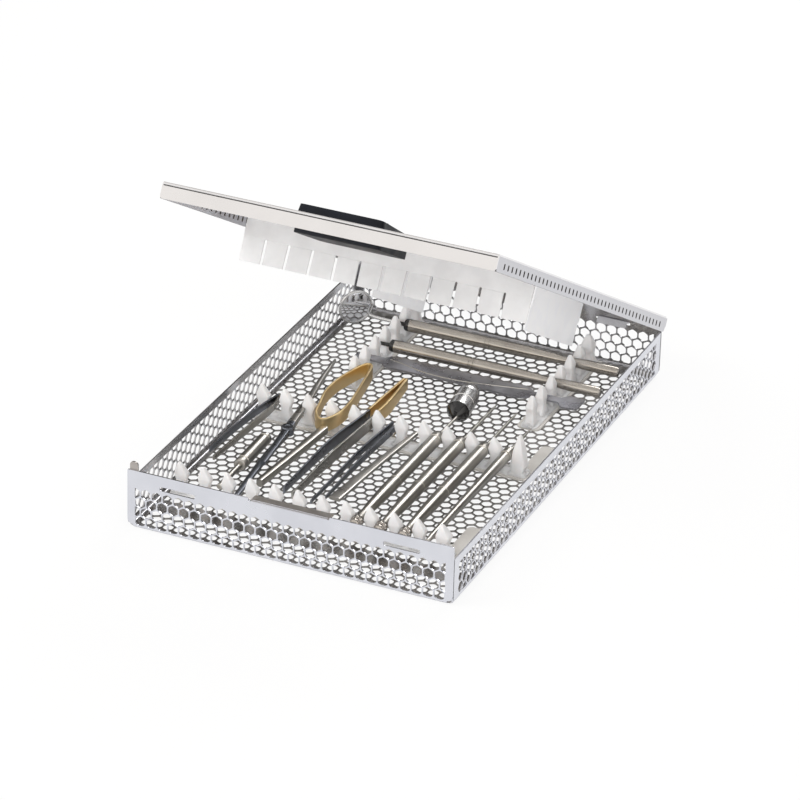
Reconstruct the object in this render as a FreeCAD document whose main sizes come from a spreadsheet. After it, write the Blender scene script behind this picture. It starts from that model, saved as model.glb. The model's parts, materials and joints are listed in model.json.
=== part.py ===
import FreeCAD, Part
import math
import os

import Sketcher

os.makedirs("parts", exist_ok=True)
V = FreeCAD.Vector
doc = FreeCAD.newDocument("instrument_tray")

# Driving sizes in millimetres and degrees. X runs along the front wall, Y to the rear, Z up.
SIZES = {
    # folded and perforated tray
    "tray_width": 180.0,
    "tray_depth": 280.0,
    "end_wall_height": 33.0,
    "side_wall_height": 25.4,
    "sheet": 0.8,
    "bend_radius": 2.0,
    "seam_gap": 0.1,
    "corner_round": 3.0,
    # hexagon perforation: pitch between holes, how much of it is open, and the plain borders
    "wall_pitch": 18.39,
    "panel_pitch": 30.65,
    "open_share": 0.87,
    "least_hole": 6.0,
    "field_side_margin": 4.0,
    "field_foot": 2.4,
    "end_field_top": 23.0,
    "side_field_top": 22.4,
    "floor_margin": 1.6,
    # slots of the end walls, catch notch and the ear at the front corner
    "slot_offset": 61.9,
    "slot_length": 20.0,
    "slot_height": 2.4,
    "slot_level": 26.0,
    "notch_length": 44.0,
    "notch_depth": 1.6,
    "catch_reach": 6.4,
    "catch_foot": 4.0,
    "ear_width": 4.6,
    "ear_rise": 4.6,
    "ear_foot": 4.0,
    "ear_gap": 0.6,
    # silicone racks on their steel rails
    "rail_width": 13.0,
    "rail_height": 0.8,
    "rail_lead": 5.5,
    "rail_foot_length": 27.0,
    "rail_foot_width": 9.0,
    "rack_width": 12.0,
    "rack_foot": 0.8,
    "rack_flare": 2.4,
    "rack_base_top": 7.5,
    "rack_top": 19.0,
    "rack_end_rise": 5.0,
    "finger_pitch": 13.35,
    "finger_neck": 4.4,
    "finger_width": 6.6,
    "finger_thick": 4.0,
    "finger_tip": 1.2,
    "finger_shoulder": 5.0,
    "finger_foot": 1.2,
    "finger_count": 12.0,
    "cross_rack_x": -80.0,
    "front_rack_setback": 42.0,
    "middle_rack_y": -1.0,
    "rear_finger_count": 7.0,
    "rear_rack_x": 51.5,
    "rear_rack_setback": 9.0,
    "rear_finger_pitch": 13.2,
    # lid, measured closed, and its hinge
    "lid_clearance": 0.3,
    "lid_flange": 8.5,
    "lid_margin": 6.0,
    "lid_slit_pitch": 18.39,
    "lid_slit_height": 4.2,
    "lid_slit_level": 1.7,
    "lid_end_round": 3.0,
    "lid_open_angle": 30.5,
    "hook_width": 17.0,
    "hook_reach": 1.6,
    "hook_drop": 2.6,
    # silicone hold-down strips under the lid
    "strip_thick": 2.0,
    "strip_drop": 26.0,
    "strip_flange": 9.0,
    "strip_flange_thick": 1.6,
    "comb_setback": 48.0,
    "comb_length": 160.8,
    "comb_slot_count": 11.0,
    "comb_slot_width": 1.4,
    "comb_slot_depth": 13.0,
    "side_strip_x": 44.2,
    "side_strip_length": 80.0,
    "side_strip_setback": 6.0,
    # latch on the lid's front
    "latch_width": 47.2,
    "latch_setback": 12.0,
    "latch_length": 44.0,
    "latch_rise": 4.6,
    "latch_drop": 9.2,
    "latch_corner": 5.0,
    "latch_bow": 5.0,
    "bolt_width": 40.0,
    "bolt_thick": 1.8,
    "bolt_length": 32.0,
    "bolt_travel": 9.0,
    "bolt_fit": 0.3,
    "grip_width": 27.0,
    "grip_length": 15.0,
    "grip_rise": 0.8,
    "grip_rib_count": 5.0,
    "grip_rib_depth": 0.7,
    "well_floor": 1.2,
    "stem_width": 16.0,
    "stem_length": 8.0,
    "stem_lead": 12.0,
    # round instruments: chuck, grip and shaft, each turned about its own length
    "handle_radius": 3.5,
    "handle_seat": 0.1,
    "handle_lead": 8.0,
    "handle_tail": 3.5,
    "chuck_radius": 2.7,
    "chuck_length": 8.0,
    "shaft_radius": 1.0,
    "shaft_length_2": 44.0,
    "shaft_length_3": 40.0,
    "thin_radius": 2.2,
    "slim_radius": 3.0,
    "slim_shaft": 26.0,
    "head_radius": 6.4,
    "head_length": 33.0,
    "head_nose": 5.0,
    "head_rim": 9.0,
    "head_lip": 1.0,
    "head_clear": 6.1,
    "rear_handle_reach": 26.0,
    "rear_handle_lead": 3.0,
    "rear_handle_point": 8.0,
    "rear_neck_share": 0.66,
    "rear_end_share": 0.82,
    "tube_stem": 1.6,
    "tube_grip": 34.0,
    "tube_lead": 37.0,
    # flat and sprung instruments; a tip counts from the front rack, a knee from the middle one
    "arm_thick": 1.2,
    "blade_height": 6.0,
    "blade_layer": 2.2,
    "tweezer_height": 4.5,
    "tweezer_end": 5.4,
    "tweezer_joint": 8.0,
    "tweezer_knee": 33.0,
    "tweezer_spread": 6.0,
    "flat_tip_left": 33.0,
    "flat_tip_right": 26.0,
    "gold_tip_left": 10.0,
    "gold_tip_right": 6.0,
    "gold_knee_right": 47.0,
    "gold_tail": 4.8,
    "fine_tip_left": 7.0,
    "fine_tip_right": 15.0,
    "scissor_lead": 5.0,
    "scissor_tail": 5.2,
    "scissor_joint": 26.0,
    "scissor_shank": 40.0,
    "scissor_width": 4.2,
    "scissor_point": 1.2,
    "scissor_hub": 3.4,
    "needle_tip": 13.0,
    "needle_width": 4.0,
    "loop_tail": 1.2,
    "loop_front": 15.0,
    "loop_wall": 1.5,
    "loop_height": 8.0,
    "blade_tip": 17.0,
    "blade_skew": 8.5,
    "blade_front_width": 6.5,
    "blade_rear_width": 2.4,
    "retractor_width": 14.0,
    "retractor_neck": 5.2,
    "retractor_end": 12.0,
    "retractor_hole": 2.6,
    "mirror_radius": 10.0,
    "mirror_thick": 1.6,
    "mirror_rim": 1.1,
    "mirror_offset": 7.0,
    "mirror_stem": 1.1,
}

EXPLAIN = "All sizes are in millimetres; lid_open_angle is in degrees."


def fill_sheet(sizes):
    """Write every driving size into the document's spreadsheet under its own alias."""
    table = doc.addObject("Spreadsheet::Sheet", "sizes")
    table.set("A1", EXPLAIN)
    for row, (name, value) in enumerate(sizes.items(), start=2):
        table.set("A%d" % row, name)
        table.set("B%d" % row, str(value))
        table.setAlias("B%d" % row, name)
    doc.recompute()
    return table


sheet = fill_sheet(SIZES)


def size(name):
    """Read one driving size back from the spreadsheet."""
    return float(sheet.get(name))


# Places that follow from the driving sizes
HALF_W = size("tray_width") / 2
HALF_D = size("tray_depth") / 2
SHEET = size("sheet")
END_TOP = size("end_wall_height")
LID_GAP = size("lid_clearance")
LID_X = HALF_W + LID_GAP + SHEET
LID_Y = HALF_D + LID_GAP + SHEET
LID_UNDER = END_TOP + LID_GAP
LID_TOP = LID_UNDER + SHEET
FLANGE_FOOT = LID_TOP - size("lid_flange")
RAIL_TOP = SHEET + size("rail_height")
PIVOT = V(0, HALF_D - SHEET / 2, size("slot_level"))
OPEN = FreeCAD.Placement(V(0, 0, 0), FreeCAD.Rotation(V(-1, 0, 0), size("lid_open_angle")), PIVOT)
FRONT_RACK_Y = -HALF_D + size("front_rack_setback")
REAR_RACK_Y = HALF_D - size("rear_rack_setback") - (size("rear_finger_count") - 1) * size("rear_finger_pitch")
COMB_Y = FRONT_RACK_Y + size("comb_setback")
LATCH_FRONT = -HALF_D + size("latch_setback")
LATCH_REAR = LATCH_FRONT + size("latch_length")
SEAT = size("rack_base_top") + size("handle_seat")
AXIS_LEVEL = SEAT + size("handle_radius")

END_SWELL = 1.05

PIECES = []


def piece(item, label, placement=None):
    """Give a finished sub-part its name and its place, and keep it for the export."""
    item.Label = label
    if placement is not None:
        item.Placement = placement * item.Placement
    PIECES.append(item)
    return item


def computed(label, shape, placement=None):
    """A sub-part whose outline is worked out by the functions below."""
    item = doc.addObject("Part::Feature", label)
    item.Shape = shape
    return piece(item, label, placement)


def new_body(label, placement=None):
    body = doc.addObject("PartDesign::Body", label)
    return piece(body, label, placement)


def sketch_on(body, role, offset=0.0):
    """An empty sketch on one of the body's own origin planes, moved along the plane's normal."""
    drawing = body.newObject("Sketcher::SketchObject", "sketch")
    plane = [item for item in body.Origin.OriginFeatures if item.Role == role][0]
    drawing.AttachmentSupport = (plane, [""])
    drawing.MapMode = "FlatFace"
    drawing.AttachmentOffset = FreeCAD.Placement(V(0, 0, offset), FreeCAD.Rotation())
    return drawing


def draw(drawing, points, rounds=None):
    """Draw a closed outline; rounds gives the fillet radius of chosen corners by their number."""
    for edge in outline(points, rounds or {}):
        drawing.addGeometry(edge, False)


def outline(points, rounds):
    """Straight edges and corner arcs of a closed outline, in order round it."""
    corners = []
    for i, point in enumerate(points):
        here = V(point[0], point[1], 0)
        radius = rounds.get(i, 0.0)
        if radius <= 0:
            corners.append((here, here, None))
            continue
        after_point = points[(i + 1) % len(points)]
        back = (V(points[i - 1][0], points[i - 1][1], 0) - here).normalize()
        ahead = (V(after_point[0], after_point[1], 0) - here).normalize()
        half = back.getAngle(ahead) / 2
        reach = radius / math.tan(half)
        middle = V(back + ahead).normalize()
        top = here + middle * (radius / math.sin(half) - radius)
        corners.append((here + back * reach, here + ahead * reach, top))
    edges = []
    for i, (start, end, top) in enumerate(corners):
        if top is not None:
            edges.append(Part.Arc(start, top, end))
        following = corners[(i + 1) % len(corners)][0]
        if (following - end).Length > 1e-6:
            edges.append(Part.LineSegment(end, following))
    return edges


def pad(body, drawing, length, symmetric=False, reverse=False):
    """Extrude a sketch by a length, given as a number or as an expression on the sheet."""
    feature = body.newObject("PartDesign::Pad", "pad")
    feature.Profile = drawing
    feature.Midplane = symmetric
    feature.Reversed = reverse
    drive(feature, "Length", length)
    body.Tip = feature
    doc.recompute()
    return feature


def pocket(body, drawing, length, symmetric=False, reverse=False):
    """Cut a sketch out of a body, and make sure that the cut takes something away."""
    before = body.Shape.Volume
    feature = body.newObject("PartDesign::Pocket", "pocket")
    feature.Profile = drawing
    feature.Midplane = symmetric
    feature.Reversed = reverse
    drive(feature, "Length", length)
    body.Tip = feature
    doc.recompute()
    if body.Shape.Volume > before - 1e-3:
        raise ValueError("a pocket of %s cuts nothing" % body.Label)
    return feature


def drive(feature, name, value):
    """Set a length, or bind it to the sheet where it is given as an expression."""
    if isinstance(value, str):
        feature.setExpression(name, value)
    else:
        setattr(feature, name, value)


def row_of(body, feature, role, count, span):
    """Repeat a feature along an axis of the body's own origin, count times over the span."""
    pattern = body.newObject("PartDesign::LinearPattern", "row")
    pattern.Originals = [feature]
    axis = [item for item in body.Origin.OriginFeatures if item.Role == role][0]
    pattern.Direction = (axis, [""])
    pattern.Length = span
    pattern.Occurrences = count
    body.Tip = pattern
    doc.recompute()
    return pattern


def revolve(body, drawing, role):
    """Turn a half profile about one of the body's own origin axes."""
    feature = body.newObject("PartDesign::Revolution", "turned")
    feature.Profile = drawing
    axis = [item for item in body.Origin.OriginFeatures if item.Role == role][0]
    feature.ReferenceAxis = (axis, [""])
    feature.Angle = 360.0
    body.Tip = feature
    doc.recompute()
    return feature


# Hexagon perforation

def clipped(points, axis, limit, below):
    """Cut a convex outline along one straight line of its plane."""
    kept = []
    for i, here in enumerate(points):
        before = points[i - 1]
        here_in = (limit - here[axis]) * below >= -1e-9
        before_in = (limit - before[axis]) * below >= -1e-9
        if here_in != before_in:
            part = (limit - before[axis]) / (here[axis] - before[axis])
            crossing = [before[k] + part * (here[k] - before[k]) for k in (0, 1)]
            kept.append(tuple(crossing))
        if here_in:
            kept.append(here)
    return kept


def signed_area(points):
    """Area inside a closed outline, positive where the outline runs counter-clockwise."""
    total = 0.0
    for i, here in enumerate(points):
        before = points[i - 1]
        total += before[0] * here[1] - here[0] * before[1]
    return total / 2


def hexagons(field, pitch, across_rows=True):
    """Hexagon holes of one lattice, cut off straight at the field's border.

    Rows run along the first direction with their centres one pitch apart, and every second
    row is shifted by half a pitch. With across_rows False the lattice is turned by 90 degrees.
    """
    low_u, high_u, low_v, high_v = field
    if not across_rows:
        turned = hexagons((low_v, high_v, low_u, high_u), pitch)
        return [[(v, u) for u, v in hole] for hole in turned]
    radius = pitch * size("open_share") / math.sqrt(3)
    step = pitch * math.sqrt(3) / 2
    middle_u = (low_u + high_u) / 2
    middle_v = (low_v + high_v) / 2
    rows = math.ceil((high_v - low_v) / step / 2) + 1
    columns = math.ceil((high_u - low_u) / pitch / 2) + 1
    holes = []
    for j in range(-rows, rows + 1):
        centre_v = middle_v + (j + 0.5) * step
        for i in range(-columns, columns + 1):
            centre_u = middle_u + (i + 0.5 * (j % 2)) * pitch
            hole = []
            for k in range(6):
                turn = math.radians(60 * k + 30)
                hole.append((centre_u + radius * math.cos(turn), centre_v + radius * math.sin(turn)))
            for axis, limit, below in ((0, low_u, -1), (0, high_u, 1), (1, low_v, -1), (1, high_v, 1)):
                hole = clipped(hole, axis, limit, below) if hole else hole
            if len(hole) > 2 and signed_area(hole) > size("least_hole"):
                holes.append(hole)
    return holes


def closed_wire(points, rounds=None):
    return Part.Wire([edge.toShape() for edge in outline(points, rounds or {})])


def perforated(points, holes, rounds=None):
    """A flat sheet in the XY plane, one sheet thick, with an outline and its holes."""
    clockwise = [hole[::-1] if signed_area(hole) > 0 else hole for hole in holes]
    face = Part.Face([closed_wire(points, rounds)] + [closed_wire(hole) for hole in clockwise])
    return face.extrude(V(0, 0, SHEET))


def stand_up(shape, origin, turn):
    """Raise a flat sheet: its X stays level and its Y points up, at an origin and a turn about Z."""
    upright = shape.copy()
    upright.rotate(V(0, 0, 0), V(1, 0, 0), 90)
    upright.rotate(V(0, 0, 0), V(0, 0, 1), turn)
    upright.translate(origin)
    return upright


def rectangle(low_u, high_u, low_v, high_v):
    return [(low_u, low_v), (high_u, low_v), (high_u, high_v), (low_u, high_v)]


# Tray: one folded sheet, here as a floor and four walls that meet along the bend lines

def floor_fields():
    """Perforated fields of the floor: plain bands are left under the front and middle racks."""
    side = HALF_W - size("bend_radius") - size("floor_margin")
    end = HALF_D - size("bend_radius") - size("floor_margin")
    band = size("rail_width") / 2
    edges = [-end]
    for rack_y in (FRONT_RACK_Y, size("middle_rack_y")):
        edges += [rack_y - band, rack_y + band]
    edges.append(end)
    return [(-side, side, edges[i], edges[i + 1]) for i in (0, 2, 4)]


def make_floor():
    side = HALF_W - size("bend_radius")
    end = HALF_D - size("bend_radius")
    holes = []
    for field in floor_fields():
        holes += hexagons(field, size("panel_pitch"))
    computed("tray_floor", perforated(rectangle(-side, side, -end, end), holes))


def foot_bend(length):
    """The quarter bend at a wall's foot, along X, with its outer corner at the origin."""
    radius = size("bend_radius")
    inner = radius - SHEET
    slant = math.sqrt(0.5)
    start = V(0, radius, 0)
    end = V(0, 0, radius)
    centre = V(0, radius, radius)
    outer_arc = Part.Arc(start, centre + V(0, -slant, -slant) * radius, end).toShape()
    inner_top = V(0, SHEET, radius)
    inner_foot = V(0, radius, SHEET)
    inner_arc = Part.Arc(inner_top, centre + V(0, -slant, -slant) * inner, inner_foot).toShape()
    edges = [outer_arc, Part.makeLine(end, inner_top), inner_arc, Part.makeLine(inner_foot, start)]
    section = Part.Face(Part.Wire(edges))
    section.translate(V(-length / 2, 0, 0))
    return section.extrude(V(length, 0, 0))


def wall(points, holes, rounds, bend_length):
    """A wall standing on its foot bend, along X, with its outer face in the XZ plane."""
    upright = stand_up(perforated(points, holes, rounds), V(0, SHEET, 0), 0)
    return upright.fuse(foot_bend(bend_length)).removeSplitter()


def slot_holes():
    half_length = size("slot_length") / 2
    low = size("slot_level") - size("slot_height") / 2
    high = size("slot_level") + size("slot_height") / 2
    middles = (-size("slot_offset"), size("slot_offset"))
    return [rectangle(x - half_length, x + half_length, low, high) for x in middles]


def make_end_wall(label, notched):
    """Front or rear wall: full height, square top, two slots, and at the front a catch notch."""
    radius = size("bend_radius")
    points = [(-HALF_W, radius), (HALF_W, radius), (HALF_W, END_TOP)]
    if notched:
        half = size("notch_length") / 2
        low = END_TOP - size("notch_depth")
        points += [(half, END_TOP), (half, low), (-half, low), (-half, END_TOP)]
    points.append((-HALF_W, END_TOP))
    margin = HALF_W - size("field_side_margin")
    field = (-margin, margin, size("field_foot"), size("end_field_top"))
    holes = hexagons(field, size("wall_pitch")) + slot_holes()
    rounds = {0: size("corner_round"), 1: size("corner_round")}
    shape = wall(points, holes, rounds, 2 * (HALF_W - radius))
    turn = 0 if notched else 180
    shape.rotate(V(0, 0, 0), V(0, 0, 1), turn)
    shape.translate(V(0, -HALF_D if notched else HALF_D, 0))
    computed(label, shape)


def make_side_wall(label, side):
    """Side wall: lower than the ends, with its lattice turned as the fold turns it."""
    radius = size("bend_radius")
    half = HALF_D - SHEET - size("seam_gap")
    top = size("side_wall_height")
    margin = HALF_D - size("field_side_margin")
    field = (-margin, margin, size("field_foot"), size("side_field_top"))
    holes = hexagons(field, size("wall_pitch"), across_rows=False)
    points = rectangle(-half, half, radius, top)
    rounding = size("corner_round") / 2
    shape = wall(points, holes, {2: rounding, 3: rounding}, 2 * (HALF_D - radius))
    shape.rotate(V(0, 0, 0), V(0, 0, 1), 90 * side)
    shape.translate(V(HALF_W * side, 0, 0))
    computed(label, shape)


def make_catch_lip():
    """Folded ledge behind the notch, which the lid's bolt slides under."""
    wall_in = -HALF_D + SHEET
    top = END_TOP - size("notch_depth")
    foot = top - size("catch_foot")
    body = new_body("catch_lip")
    drawing = sketch_on(body, "YZ_Plane")
    reach = wall_in + size("catch_reach")
    points = [(wall_in, foot), (wall_in + SHEET, foot), (wall_in + SHEET, top - SHEET)]
    points += [(reach, top - SHEET), (reach, top), (wall_in, top)]
    draw(drawing, points, {3: SHEET / 2 - 0.05, 4: SHEET / 2 - 0.05})
    pad(body, drawing, "sizes.notch_length - 2 * sizes.lid_clearance", symmetric=True)


def ear_edges():
    """Left and right edge of the ear at the tray's front left corner."""
    left = -HALF_W + SHEET + LID_GAP
    return left, left + size("ear_width")


def ear_slot():
    """Slot of the lid plate that the ear stands in when the lid is closed."""
    left, right = ear_edges()
    gap = size("ear_gap")
    wall_in = -HALF_D + SHEET
    return rectangle(left - gap, right + gap, wall_in - gap, wall_in + SHEET + gap)


def make_corner_ear():
    """Small rounded ear that stands up behind the front wall's left end."""
    left, right = ear_edges()
    low = END_TOP - size("ear_foot")
    high = END_TOP + size("ear_rise")
    body = new_body("corner_ear")
    drawing = sketch_on(body, "XZ_Plane", HALF_D - 2 * SHEET)
    rounding = size("ear_width") * 0.45
    draw(drawing, rectangle(left, right, low, high), {2: rounding, 3: rounding})
    pad(body, drawing, "sizes.sheet")


# Racks: silicone combs that stand on flat steel rails welded to the floor

def make_cross_rail(label, y):
    """Rail across the tray, with a foot turned rearwards beside the right wall."""
    half = size("rail_width") / 2
    left = size("cross_rack_x") - size("rail_lead")
    right = size("cross_rack_x") + (size("finger_count") - 1) * size("finger_pitch") + size("rail_lead")
    foot_left = right - size("rail_foot_width") + size("corner_round")
    foot_right = right + size("corner_round")
    foot_rear = y + half + size("rail_foot_length")
    body = new_body(label)
    drawing = sketch_on(body, "XY_Plane", SHEET)
    points = [(left, y - half), (foot_right, y - half), (foot_right, foot_rear), (foot_left, foot_rear)]
    points += [(foot_left, y + half), (left, y + half)]
    rounding = size("corner_round")
    draw(drawing, points, {2: rounding, 3: rounding})
    pad(body, drawing, "sizes.rail_height")


def make_rear_rail(label, x):
    half = size("rail_width") / 2
    front = REAR_RACK_Y - size("rail_lead")
    rear = REAR_RACK_Y + (size("rear_finger_count") - 1) * size("rear_finger_pitch") + size("rail_lead")
    body = new_body(label)
    drawing = sketch_on(body, "XY_Plane", SHEET)
    rounding = size("corner_round")
    draw(drawing, rectangle(x - half, x + half, front, rear), {0: rounding, 1: rounding})
    pad(body, drawing, "sizes.rail_height")


def finger_outline(middle, base, top, swell=1.0):
    """Spade-shaped finger: a narrow neck, a wide shoulder and a blunt point."""
    neck = size("finger_neck") / 2 * swell
    wide = size("finger_width") / 2 * swell
    tip = size("finger_tip") / 2
    shoulder = base + size("finger_shoulder")
    foot = base + size("finger_foot")
    right = [(neck, base - 1), (neck, foot), (wide, shoulder), (tip, top)]
    left = [(-u, v) for u, v in right[::-1]]
    return [(middle + u, v) for u, v in right + left]


def rack_base(label, plane, depth, middle, length):
    """The base that a rack's fingers grow from: a broad flared foot and a narrow web on top."""
    broad = size("rack_width") / 2
    narrow = size("finger_thick") / 2
    low = RAIL_TOP + size("rack_foot")
    flare = low + size("rack_flare")
    top = size("rack_base_top")
    right = [(broad, RAIL_TOP), (broad, low), (narrow, flare), (narrow, top)]
    left = [(-u, v) for u, v in right[::-1]]
    body = new_body(label)
    section = sketch_on(body, plane, depth)
    draw(section, [(middle + u, v) for u, v in right + left])
    pad(body, section, length, symmetric=True)
    return body


def add_fingers(body, plane, depth, axis, start, pitch, count, rise):
    """A row of equal fingers, and a broader one at the far end that may rise higher."""
    base = size("rack_base_top")
    top = size("rack_top")
    first = sketch_on(body, plane, depth)
    draw(first, finger_outline(start, base, top))
    finger = pad(body, first, "sizes.finger_thick", symmetric=True)
    row_of(body, finger, axis, count - 1, (count - 2) * pitch)
    end = sketch_on(body, plane, depth)
    rounding = size("finger_tip")
    last = start + (count - 1) * pitch
    draw(end, finger_outline(last, base, top + rise, END_SWELL), {2: rounding, 5: rounding})
    pad(body, end, "sizes.rack_width - 2 * sizes.finger_tip", symmetric=True)


def make_rack(label, y, rise):
    """A silicone rack across the tray."""
    start = size("cross_rack_x")
    pitch = size("finger_pitch")
    count = int(size("finger_count"))
    span = (count - 1) * pitch
    length = "(trunc(sizes.finger_count) - 1) * sizes.finger_pitch + 2 * sizes.rail_lead"
    body = rack_base(label, "YZ_Plane", start + span / 2, y, length)
    add_fingers(body, "XZ_Plane", -y, "X_Axis", start, pitch, count, rise)


def make_rear_rack(label, x):
    """A silicone rack along the tray, which holds one end of the rear instruments."""
    pitch = size("rear_finger_pitch")
    count = int(size("rear_finger_count"))
    span = (count - 1) * pitch
    length = "(trunc(sizes.rear_finger_count) - 1) * sizes.rear_finger_pitch + 2 * sizes.rail_lead"
    body = rack_base(label, "XZ_Plane", -REAR_RACK_Y - span / 2, x, length)
    add_fingers(body, "YZ_Plane", x, "Y_Axis", REAR_RACK_Y, pitch, count, 0.0)


# Lid: a shallow perforated pan, drawn closed and then opened about the hinge

def make_lid_plate():
    margin_x = LID_X - size("lid_margin")
    margin_y = LID_Y - size("lid_margin")
    latch_half = size("latch_width") / 2
    front_end = LATCH_FRONT
    rear_end = LATCH_REAR
    fields = [
        (-margin_x, margin_x, rear_end, margin_y),
        (-margin_x, -latch_half, -margin_y, rear_end - size("lid_margin")),
        (latch_half, margin_x, -margin_y, rear_end - size("lid_margin")),
    ]
    holes = []
    for field in fields:
        holes += hexagons(field, size("panel_pitch"))
    holes.append(stem_slot())
    holes.append(ear_slot())
    shape = perforated(rectangle(-LID_X, LID_X, -LID_Y, LID_Y), holes)
    shape.translate(V(0, 0, LID_UNDER))
    computed("lid_plate", shape, OPEN)


def make_lid_side(label, side):
    """Side flange of the lid: plain above, one row of hexagon slits below, rounded at the rear."""
    half = LID_Y - SHEET
    low = FLANGE_FOOT
    level = low + size("lid_slit_level")
    pitch = size("lid_slit_pitch")
    reach = half - size("lid_margin")
    count = int(2 * reach / pitch)
    tall = size("lid_slit_height")
    flat = pitch * size("open_share") / 2
    holes = []
    for i in range(count):
        middle = (i - (count - 1) / 2) * pitch
        knee = tall * 0.25
        right = [(middle + flat, level + knee), (middle + flat, level + tall - knee), (middle, level + tall)]
        left = [(middle - flat, level + tall - knee), (middle - flat, level + knee), (middle, level)]
        holes.append(right + left)
    points = rectangle(-half, half, low, LID_UNDER)
    rounds = {0 if side < 0 else 1: size("lid_end_round")}
    shape = stand_up(perforated(points, holes, rounds), V(0, SHEET, 0), 0)
    shape.rotate(V(0, 0, 0), V(0, 0, 1), 90 * side)
    shape.translate(V(LID_X * side, 0, 0))
    computed(label, shape, OPEN)


def make_lid_front():
    """Plain front flange, which closes over the solid band of the front wall."""
    body = new_body("lid_front_flange", OPEN)
    drawing = sketch_on(body, "XZ_Plane", LID_Y - SHEET)
    draw(drawing, rectangle(-LID_X, LID_X, FLANGE_FOOT, LID_UNDER), {0: 1.5, 1: 1.5})
    pad(body, drawing, "sizes.sheet")


def make_lid_rear():
    """Rear flange with two hooks that pass through the rear wall's slots and turn down inside."""
    low = size("slot_level") - SHEET / 2
    high = size("slot_level") + SHEET / 2
    drop = low - size("hook_drop")
    outer = LID_Y - SHEET
    inner = HALF_D - SHEET - size("hook_reach")
    body = new_body("lid_rear_flange", OPEN)
    drawing = sketch_on(body, "XZ_Plane", -LID_Y)
    rounding = size("corner_round")
    draw(drawing, rectangle(-LID_X, LID_X, high, LID_UNDER), {0: rounding, 1: rounding})
    pad(body, drawing, "sizes.sheet")
    section = [(LID_Y, low), (LID_Y, high + SHEET), (outer, high + SHEET), (outer, high)]
    section += [(inner, high), (inner, drop), (inner + SHEET, drop), (inner + SHEET, low)]
    for x in (-size("slot_offset"), size("slot_offset")):
        hook = sketch_on(body, "YZ_Plane", x)
        draw(hook, section)
        pad(body, hook, "sizes.hook_width", symmetric=True)


def make_comb():
    """Long hold-down strip: a flange under the lid plate, a blade and a row of slots."""
    y = COMB_Y
    half = size("comb_length") / 2
    under = LID_UNDER
    web = under - size("strip_flange_thick")
    low = LID_UNDER - size("strip_drop")
    thick = size("strip_thick") / 2
    flange = size("strip_flange") / 2
    body = new_body("hold_down_comb", OPEN)
    drawing = sketch_on(body, "YZ_Plane")
    section = [(y - thick, low), (y + thick, low), (y + thick, web), (y + flange, web)]
    section += [(y + flange, under), (y - flange, under), (y - flange, web), (y - thick, web)]
    draw(drawing, section)
    pad(body, drawing, "sizes.comb_length", symmetric=True)
    pitch = size("finger_pitch")
    count = int(size("comb_slot_count"))
    first = -(count - 1) * pitch / 2
    slot = sketch_on(body, "XZ_Plane", -y)
    width = size("comb_slot_width") / 2
    top = low + size("comb_slot_depth")
    draw(slot, rectangle(first - width, first + width, low - 1, top))
    cut = pocket(body, slot, size("strip_thick") + 2, symmetric=True)
    row_of(body, cut, "X_Axis", count, (count - 1) * pitch)


def make_side_strip(label, x):
    """Short hold-down strip over a rear bay, with a thinner lower half."""
    low = LID_UNDER - size("strip_drop")
    web = LID_UNDER - size("strip_flange_thick")
    thick = size("strip_thick") / 2
    flange = size("strip_flange") / 2
    middle = low + size("comb_slot_depth")
    thin = thick / 2
    section = [(x - thin, low), (x + thin, low), (x + thin, middle), (x + thick, middle)]
    section += [(x + thick, web), (x + flange, web), (x + flange, LID_UNDER), (x - flange, LID_UNDER)]
    section += [(x - flange, web), (x - thick, web), (x - thick, middle), (x - thin, middle)]
    body = new_body(label, OPEN)
    drawing = sketch_on(body, "XZ_Plane", size("side_strip_setback") - HALF_D)
    draw(drawing, section)
    pad(body, drawing, "sizes.side_strip_length")


# Latch: a housing clamped through the lid and a slide that carries grip and bolt

def bolt_level():
    """Underside of the bolt, which passes below the catch ledge."""
    return END_TOP - size("notch_depth") - SHEET - size("bolt_fit") - size("bolt_thick")


def bolt_front():
    return LATCH_FRONT + size("bolt_fit")


def stem_front():
    return bolt_front() + size("bolt_travel") + size("stem_lead")


def make_latch_cover():
    """Raised plastic frame on top of the lid, open in the middle for the grip."""
    half = size("latch_width") / 2
    body = new_body("latch_cover", OPEN)
    plan = sketch_on(body, "XY_Plane", LID_TOP)
    corner = size("latch_corner")
    rounds = {0: corner, 1: corner, 2: corner, 3: corner}
    draw(plan, rectangle(-half, half, LATCH_FRONT, LATCH_REAR), rounds)
    pad(body, plan, "sizes.latch_rise")
    well = sketch_on(body, "XY_Plane", LID_TOP + size("latch_rise"))
    grip_half = size("grip_width") / 2 + size("bolt_fit") * 2
    front = grip_front() - size("bolt_travel") - size("bolt_fit") * 2
    rear = grip_front() + size("grip_length") + size("bolt_fit") * 2
    draw(well, rectangle(-grip_half, grip_half, front, rear))
    pocket(body, well, "sizes.latch_rise - sizes.well_floor")
    slot = sketch_on(body, "XY_Plane", LID_TOP + size("well_floor"))
    draw(slot, stem_slot())
    pocket(body, slot, "2 * sizes.well_floor", symmetric=True)


def grip_front():
    return stem_front() + size("stem_length") / 2 - size("grip_length") / 2


def stem_slot():
    """Plan of the slot that the stem slides in."""
    half = size("stem_width") / 2 + size("bolt_fit")
    front = stem_front() - size("bolt_travel") - size("bolt_fit")
    return rectangle(-half, half, front, stem_front() + size("stem_length") + size("bolt_fit"))


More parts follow.
